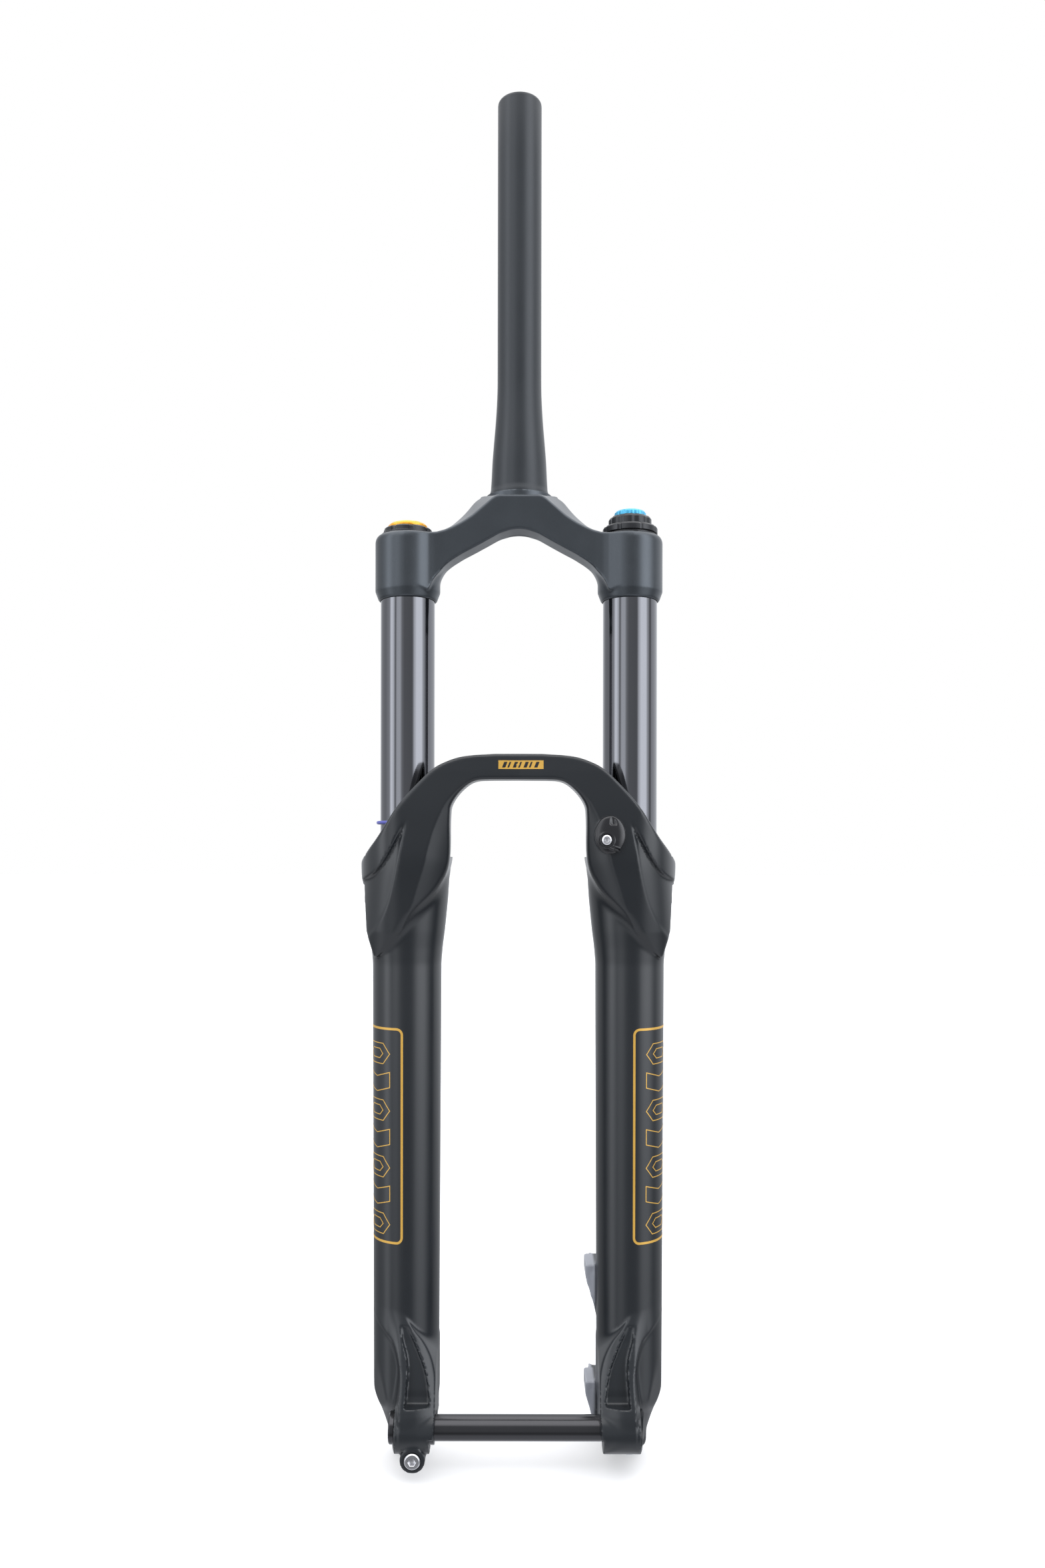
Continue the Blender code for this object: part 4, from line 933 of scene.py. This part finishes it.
def guide_field(x, y, z):
    u, v = (x - GX) / 9.2, (z - GZ) / 11.4
    e = np.hypot(u, v)
    oval = (e - 1.0) * 9.6
    dome = -67.3 - 2.9 * np.sqrt(np.clip(1.0 - (0.93 * e) ** 2.4, 0, 1))
    d = smax(oval, np.maximum(dome - y, y + 64.6), 0.9)
    # channel for the hose, open at the top, with two lips
    ch = np.hypot((x - 57.4) + 0.10 * (z - GZ), (y + 71.6) * 0.9) - 2.7
    ch = smax(ch, -214.5 - z, 0.8)
    d = smax(d, -ch, 0.6)
    # raised rim round the screw
    rim = np.hypot(x - 52.6, z + 223.4)
    d = smin(d, np.maximum(np.maximum(rim - 4.7, 3.1 - rim), np.maximum(-70.3 - y, y + 66.0)), 0.7)
    d = smax(d, -np.maximum(rim - 3.5, y + 69.2), 0.35)
    # two small ridges under the screw
    for k in (0, 1):
        r = np.maximum(np.abs((z + 229.0 - 1.9 * k) + 0.35 * (x - 56.0)) - 0.40, np.maximum(np.abs(x - 57.5) - 3.4, -69.9 - y))
        d = smin(d, np.maximum(r, y + 66.0), 0.5)
    # keep inside the model's solid, whose front is at -70
    return smax(d, -70.3 - y, 0.3)


vg, qg = skin(guide_field, (44.5, -72.5, -233), (65.2, -63, -207.5), 0.33)
guide = place("brake_hose_guide", mesh_fast("brake_hose_guide", vg, qg), "guide_black", None, 40)
combine(guide, [(rod(1.9, -90, -60, 32, "Y"), (52.6, 0, -223.4))])
reshade(guide, 40)
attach(guide, "lower_unit")
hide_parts("hose_guide")
HS = (52.6, 0, -223.4)
prof = soften([(0, -54), (1.6, -54), (1.6, -69.25), (3.0, -69.25), (3.1, -69.5), (3.1, -70.4), (2.2, -71.1), (0, -71.2)], [0, 0.2, 0.1, 0.1, 0.1, 0.6, 0.8, 0], 5)
screw = from_bm("hose_guide_socket_screw", lathe(prof, 64, "Y"), "steel", None, 30, HS)
combine(screw, [(lathe([(0, -75), (1.75, -75), (1.75, -71.2), (1.45, -70.95), (1.45, -69.9), (0, -69.5)], 6, "Y"), HS)])
reshade(screw, 30)
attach(screw, "lower_unit")
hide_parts("hose_guide_screw")

# ------------------------------------------------------------------ feet of the legs
prof = soften([(0, -607.0), (2.9, -607.0), (2.9, -602.7), (3.0, -602.7), (3.0, -607.5), (7.8, -607.5), (8.2, -607.1), (8.2, -603.8), (5.0, -603.8), (5.0, -589.8), (0, -589.8)], [0, 0, 0, 0, 0.1, 0.2, 0.2, 0.2, 0.1, 0.2, 0], 4)
foot = from_bm("air_shaft_foot_bolt", lathe([(0, -607.5), (7.6, -607.5), (8.2, -606.9), (8.2, -604.2), (7.8, -603.75), (5.0, -603.75), (5.0, -589.8), (0, -589.8)], 96, radial=scallops(12, 0.35, -607.6, -603.7)), "cap_black", None, 30, AIR)
combine(foot, [(hexagon(2.9, -612, -602.8), AIR)])
reshade(foot, 30)
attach(foot, "lower_unit")
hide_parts("air_foot_bolt")
o = from_bm("damper_rod_foot_nut", lathe([(5.3, -606.4), (7.6, -606.4), (8.2, -605.9), (8.2, -604.0), (7.8, -603.6), (5.3, -603.6)], 96, radial=pulses(6, 0.7, 0.5, 0.0, -606.5, -603.4)), "cap_black", "lower_unit", 30, DAMP)
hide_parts("damper_foot_nut")
prof = soften([(0, -609.6), (4.5, -609.6), (5.0, -609.1), (5.0, -607.1), (4.8, -606.9), (4.8, -602.4), (0, -602.4)], [0, 0.3, 0.3, 0.2, 0.1, 0.1, 0], 4)
o = from_bm("rebound_adjuster_knob", lathe(prof, 96, radial=scallops(16, 0.35, -609.5, -607.2)), "raw_aluminium", "rebound_adjuster", 30, DAMP)
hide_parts("rebound_knob")

# ------------------------------------------------------------------ decals: thin foil on the paint, generic shapes only


def leg_radius(z):
    return float(np.interp(z, z_fine, r_fine))


def on_leg(s, z, sx, lift):
    """A point `s` mm round the outer side from the leg's front line."""
    r = leg_radius(z) + lift
    a = s / 21.2
    return (sx * (LEG_X + r * math.sin(a)), LEG_Y - r * math.cos(a), z)


def foil(bm, inner, outer, spot):
    """A closed strip between two loops of (s, z) points, `spot(s, z, lift)` placing them; 0.14 mm thick."""
    n = len(inner)
    layers = [[bm.verts.new(spot(*q, lift)) for q in loop] for loop, lift in ((inner, -0.06), (inner, 0.08), (outer, 0.08), (outer, -0.06))]
    for k in range(4):
        a, b = layers[k], layers[(k + 1) % 4]
        for i in range(n):
            j = (i + 1) % n
            bm.faces.new((a[i], a[j], b[j], b[i]))


def resample(poly, step=1.2):
    out = []
    n = len(poly)
    for i in range(n):
        a, b = poly[i], poly[(i + 1) % n]
        m = max(1, int(math.hypot(b[0] - a[0], b[1] - a[1]) / step))
        out += [(a[0] + (b[0] - a[0]) * k / m, a[1] + (b[1] - a[1]) * k / m) for k in range(m)]
    return out


def inset(poly, d):
    """Moves each point of a closed counter-clockwise loop inwards by d."""
    n = len(poly)
    out = []
    for i in range(n):
        p, a, b = poly[i], poly[i - 1], poly[(i + 1) % n]
        e0 = np.array([p[0] - a[0], p[1] - a[1]], float)
        e1 = np.array([b[0] - p[0], b[1] - p[1]], float)
        n0 = np.array([-e0[1], e0[0]]) / max(1e-9, np.hypot(*e0))
        n1 = np.array([-e1[1], e1[0]]) / max(1e-9, np.hypot(*e1))
        m = n0 + n1
        k = 2.0 * d / max(0.4, float(m @ m))
        out.append((p[0] + m[0] * k, p[1] + m[1] * k))
    return out


def rounded_rect(s0, s1, z0, z1, r, n=6):
    out = []
    for cx, cz, a0 in ((s1 - r, z0 + r, -90), (s1 - r, z1 - r, 0), (s0 + r, z1 - r, 90), (s0 + r, z0 + r, 180)):
        out += [(cx + r * math.cos(math.radians(a0 + 90 * k / n)), cz + r * math.sin(math.radians(a0 + 90 * k / n))) for k in range(n + 1)]
    return out


for side, sx in (("air", -1), ("damper", 1)):
    def spot(a, z, lift, sx=sx):
        return on_leg(a, z, sx, lift)

    bm = bmesh.new()
    outer = resample(rounded_rect(0.4, 42.0, -472.0, -339.0, 4.2))
    foil(bm, inset(outer, 1.45), outer, spot)
    o = from_bm(f"decal_frame_{side}", bm, "decal_gold", "lower_unit", 40)
    bm = bmesh.new()
    shapes = []
    z = -349.0
    for k in range(7):
        top_z, low_z = z, z - 12.6
        mid = (top_z + low_z) / 2
        if k % 2 == 0:
            shapes.append([(9.0, mid), (14.0, low_z), (28.0, low_z), (33.0, mid), (28.0, top_z), (14.0, top_z)])
            shapes.append([(14.2, mid), (17.0, low_z + 3.4), (25.0, low_z + 3.4), (27.8, mid), (25.0, top_z - 3.4), (17.0, top_z - 3.4)])
        else:
            shapes.append([(9.0, low_z + 3.2), (20.0, low_z), (33.0, low_z + 3.2), (33.0, top_z), (20.0, top_z - 3.2), (9.0, top_z)])
        z = low_z - 4.9
    for poly in shapes:
        area = sum(a[0] * b[1] - b[0] * a[1] for a, b in zip(poly, poly[1:] + poly[:1]))
        if area < 0:
            poly = poly[::-1]
        big = inset(poly, -0.26)
        small = inset(poly, 0.26)
        m = 6
        n = len(poly)
        A, Bq = [], []
        for i in range(n):
            j = (i + 1) % n
            for k in range(m):
                t = k / m
                A.append((small[i][0] + (small[j][0] - small[i][0]) * t, small[i][1] + (small[j][1] - small[i][1]) * t))
                Bq.append((big[i][0] + (big[j][0] - big[i][0]) * t, big[i][1] + (big[j][1] - big[i][1]) * t))
        foil(bm, A, Bq, spot)
    o = from_bm(f"decal_pattern_{side}", bm, "decal_gold", "lower_unit", 40)


def arch_front(x, z):
    """y of the arch's front face, found by halving."""
    x, z = np.asarray(x, float), np.asarray(z, float)
    lo, hi = np.full(x.shape, -72.0), np.full(x.shape, -60.0)
    for _ in range(22):
        mid = (lo + hi) / 2
        f = casting(x, mid, z)
        lo, hi = np.where(f > 0, mid, lo), np.where(f > 0, hi, mid)
    return hi


def badge_part(name, poly_list, mat, lift, back):
    bm = bmesh.new()
    for poly in poly_list:
        pts = resample(poly, 1.0)
        nn = len(pts)
        cx, cz = sum(q[0] for q in pts) / nn, sum(q[1] for q in pts) / nn
        rings = []
        for f in (1.0, 0.66, 0.33):
            rr = [(cx + (q[0] - cx) * f, cz + (q[1] - cz) * f) for q in pts]
            yy = arch_front([q[0] for q in rr], [q[1] for q in rr])
            rings.append([bm.verts.new((q[0], float(v) - lift, q[1])) for q, v in zip(rr, yy)])
        yc = float(arch_front([cx], [cz])[0])
        c = bm.verts.new((cx, yc - lift, cz))
        yb = arch_front([q[0] for q in pts], [q[1] for q in pts])
        base = [bm.verts.new((q[0], float(v) + back, q[1])) for q, v in zip(pts, yb)]
        bc = bm.verts.new((cx, yc + back, cz))
        for i in range(nn):
            j = (i + 1) % nn
            for a, b in zip(rings, rings[1:]):
                bm.faces.new((a[i], a[j], b[j], b[i]))
            bm.faces.new((rings[-1][i], rings[-1][j], c))
            bm.faces.new((base[j], base[i], rings[0][i], rings[0][j]))
            bm.faces.new((base[i], base[j], bc))
    return from_bm(name, bm, mat, "lower_unit", 30)


badge_part("arch_badge_plate", [[(-12.0, -181.0), (15.0, -181.0), (15.0, -175.8), (-12.0, -175.8)]], "decal_gold", 0.12, 0.08)
bars = []
for k in range(7):
    x0 = -9.8 + 3.2 * k
    w = 1.9 if k % 2 == 0 else 1.0
    bars.append([(x0, -180.1), (x0 + w, -180.1), (x0 + w + 1.3, -176.7), (x0 + 1.3, -176.7)])
badge_part("arch_badge_bars", bars, "cap_black", 0.20, -0.06)

# ------------------------------------------------------------------ finishes of the pieces that stay as they are in the model
SLOT_MAT = {"crown_black": "crown_black", "casting_black": "casting_black", "stanchion_black": "stanchion_black", "anodised_black": "anodised_black",
            "axle_black": "axle_black", "gold_anodised": "gold_anodised", "blue_anodised": "blue_anodised", "steel": "steel", "raw_aluminium": "raw_aluminium",
            "rubber_black": "rubber_black", "foam_black": "foam_black", "ring_blue": "ring_blue", "bushing": "bushing", "bumper": "bumper"}
KEEP = {"air_valve": "steel", "air_seal_head": "anodised_black", "air_shaft": "raw_aluminium", "air_piston": "anodised_black", "top_out_bumper": "bumper",
        "bottom_out_bumper": "bumper", "damper_cartridge_tube": "raw_aluminium", "compression_valve": "anodised_black", "damper_seal_head": "anodised_black",
        "damper_rod": "steel", "damper_piston": "anodised_black", "rebound_needle": "steel", "foam_ring_air": "foam_black", "foam_ring_damper": "foam_black",
        "upper_bushing_air": "bushing", "upper_bushing_damper": "bushing", "lower_bushing_air": "bushing", "lower_bushing_damper": "bushing"}
for name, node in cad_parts.items():
    mat = MAT[KEEP.get(name, "anodised_black")]
    if not node.material_slots:
        node.data.materials.append(mat)
    for slot in node.material_slots:
        slot.link = "OBJECT"
        slot.material = mat

# ------------------------------------------------------------------ floor, light, camera
FLOOR_Z = -609.7
bm = bmesh.new()
bmesh.ops.create_grid(bm, x_segments=1, y_segments=1, size=1.0)
bmesh.ops.scale(bm, vec=(14000, 14000, 1), verts=bm.verts)
bmesh.ops.translate(bm, vec=(0, 0, FLOOR_Z), verts=bm.verts)
bmesh.ops.scale(bm, vec=(MM, MM, MM), verts=bm.verts)
fm = bpy.data.meshes.new("studio_floor")
bm.to_mesh(fm)
bm.free()
floor = bpy.data.objects.new("studio_floor", fm)
bpy.context.scene.collection.objects.link(floor)
m, nt, pr = nodes_of("floor_white")
pr.inputs["Base Color"].default_value = (0.60, 0.60, 0.605, 1.0)
pr.inputs["Emission Color"].default_value = (1.0, 1.0, 1.0, 1.0)
pr.inputs["Emission Strength"].default_value = 0.36
pr.inputs["Roughness"].default_value = 0.9
pr.inputs["Specular IOR Level"].default_value = 0.1
noise = nt.nodes.new("ShaderNodeTexNoise")
noise.inputs["Scale"].default_value = 6.0
ramp = nt.nodes.new("ShaderNodeMapRange")
ramp.inputs["To Min"].default_value = 0.86
ramp.inputs["To Max"].default_value = 0.94
nt.links.new(noise.outputs["Fac"], ramp.inputs["Value"])
nt.links.new(ramp.outputs["Result"], pr.inputs["Roughness"])
fm.materials.append(m)
floor.visible_glossy = False
floor.visible_diffuse = False

world = bpy.data.worlds.new("studio")
bpy.context.scene.world = world
world.use_nodes = True
nt = world.node_tree
n = nt.nodes
n.clear()
tc = n.new("ShaderNodeTexCoord")
sep = n.new("ShaderNodeSeparateXYZ")
nt.links.new(tc.outputs["Generated"], sep.inputs[0])
neg = n.new("ShaderNodeMath")
neg.operation = "MULTIPLY"
neg.inputs[1].default_value = -1.0
nt.links.new(sep.outputs["Y"], neg.inputs[0])
at = n.new("ShaderNodeMath")
at.operation = "ARCTAN2"
nt.links.new(sep.outputs["X"], at.inputs[0])
nt.links.new(neg.outputs[0], at.inputs[1])
mr = n.new("ShaderNodeMapRange")
mr.inputs["From Min"].default_value = -math.pi
mr.inputs["From Max"].default_value = math.pi
nt.links.new(at.outputs[0], mr.inputs["Value"])
cr = n.new("ShaderNodeValToRGB")
cr.color_ramp.interpolation = "EASE"
# brightness of the studio round the object: degrees from the camera's side, positive to the right; softboxes and dark flags
AROUND = [(-180, 1.0), (-150, 0.95), (-132, 0.75), (-104, 0.75), (-80, 1.1), (-67, 3.4), (-58, 2.6), (-48, 0.60), (-40, 1.9), (-28, 1.9), (-17, 0.75), (-8, 0.50), (24, 0.46),
          (36, 2.4), (44, 3.4), (66, 3.4), (76, 1.6), (90, 0.40), (102, 1.2), (128, 1.3), (150, 1.1), (180, 1.0)]
PEAK = 4.0
el = cr.color_ramp.elements
for k, (deg, v) in enumerate(AROUND):
    pos = (deg + 180.0) / 360.0
    e = el[k] if k < 2 else el.new(pos)
    e.position = pos
    e.color = (v / PEAK,) * 3 + (1.0,)
for k, (deg, v) in enumerate(AROUND):
    el[k].position = (deg + 180.0) / 360.0
    el[k].color = (v / PEAK * 0.97, v / PEAK, v / PEAK * 1.05, 1.0)
nt.links.new(mr.outputs["Result"], cr.inputs["Fac"])
# towards the zenith the walls give way to one large overhead softbox
zen = n.new("ShaderNodeMapRange")
zen.interpolation_type = "SMOOTHSTEP"
zen.inputs["From Min"].default_value = 0.55
zen.inputs["From Max"].default_value = 0.85
nt.links.new(sep.outputs["Z"], zen.inputs["Value"])
mixc = n.new("ShaderNodeMix")
mixc.data_type = "RGBA"
mixc.inputs[7].default_value = (0.62, 0.62, 0.63, 1.0)
nt.links.new(zen.outputs["Result"], mixc.inputs[0])
nt.links.new(cr.outputs["Color"], mixc.inputs[6])
bgl = n.new("ShaderNodeBackground")
# below the horizon the softboxes fade, and steeply down they give way to an even, pale ground
low = n.new("ShaderNodeMapRange")
low.interpolation_type = "SMOOTHSTEP"
low.inputs["From Min"].default_value = -0.80
low.inputs["From Max"].default_value = -0.45
nt.links.new(sep.outputs["Z"], low.inputs["Value"])
fade = n.new("ShaderNodeMapRange")
fade.inputs["From Min"].default_value = -0.42
fade.inputs["From Max"].default_value = -0.07
fade.inputs["To Min"].default_value = 0.42
fade.inputs["To Max"].default_value = 1.0
nt.links.new(sep.outputs["Z"], fade.inputs["Value"])
# the softbox on the right ends higher than the one on the left
rside = n.new("ShaderNodeMapRange")
rside.inputs["From Min"].default_value = 0.2
rside.inputs["From Max"].default_value = 0.9
nt.links.new(sep.outputs["X"], rside.inputs["Value"])
down = n.new("ShaderNodeMapRange")
down.inputs["From Min"].default_value = -0.07
down.inputs["From Max"].default_value = -0.36
down.inputs["To Max"].default_value = 0.32
nt.links.new(sep.outputs["Z"], down.inputs["Value"])
loss = n.new("ShaderNodeMath")
loss.operation = "MULTIPLY"
nt.links.new(rside.outputs["Result"], loss.inputs[0])
nt.links.new(down.outputs["Result"], loss.inputs[1])
keep = n.new("ShaderNodeMath")
keep.operation = "SUBTRACT"
keep.inputs[0].default_value = 1.0
nt.links.new(loss.outputs[0], keep.inputs[1])
faded = n.new("ShaderNodeMath")
faded.operation = "MULTIPLY"
nt.links.new(fade.outputs["Result"], faded.inputs[0])
nt.links.new(keep.outputs[0], faded.inputs[1])
dim = n.new("ShaderNodeMix")
dim.data_type = "RGBA"
dim.inputs[6].default_value = (0.0, 0.0, 0.0, 1.0)
nt.links.new(faded.outputs[0], dim.inputs[0])
nt.links.new(mixc.outputs[2], dim.inputs[7])
mixg = n.new("ShaderNodeMix")
mixg.data_type = "RGBA"
mixg.inputs[6].default_value = (0.22, 0.225, 0.24, 1.0)
nt.links.new(low.outputs["Result"], mixg.inputs[0])
nt.links.new(dim.outputs[2], mixg.inputs[7])
nt.links.new(mixg.outputs[2], bgl.inputs["Color"])
bgl.inputs["Strength"].default_value = PEAK
bgw = n.new("ShaderNodeBackground")
bgw.inputs["Color"].default_value = (1.0, 1.0, 1.0, 1.0)
bgw.inputs["Strength"].default_value = 1.0
lp = n.new("ShaderNodeLightPath")
ms = n.new("ShaderNodeMixShader")
nt.links.new(lp.outputs["Is Camera Ray"], ms.inputs["Fac"])
nt.links.new(bgl.outputs[0], ms.inputs[1])
nt.links.new(bgw.outputs[0], ms.inputs[2])
wo = n.new("ShaderNodeOutputWorld")
nt.links.new(ms.outputs[0], wo.inputs["Surface"])

cam_data = bpy.data.cameras.new("camera")
cam_data.lens = 26.01
cam_data.sensor_width = 36.0
cam_data.sensor_fit = "AUTO"
cam_data.shift_y = 0.0397
cam_data.clip_start = 0.05
cam_data.clip_end = 50.0
cam = bpy.data.objects.new("camera", cam_data)
cam.location = (2.5 * MM, -742.4 * MM, -227.2 * MM)
cam.rotation_euler = (math.radians(90), -0.0016, 0)
bpy.context.scene.collection.objects.link(cam)
bpy.context.scene.camera = cam
vs = bpy.context.scene.view_settings
vs.view_transform = "Standard"
vs.look = "None"

bpy.context.view_layer.update()
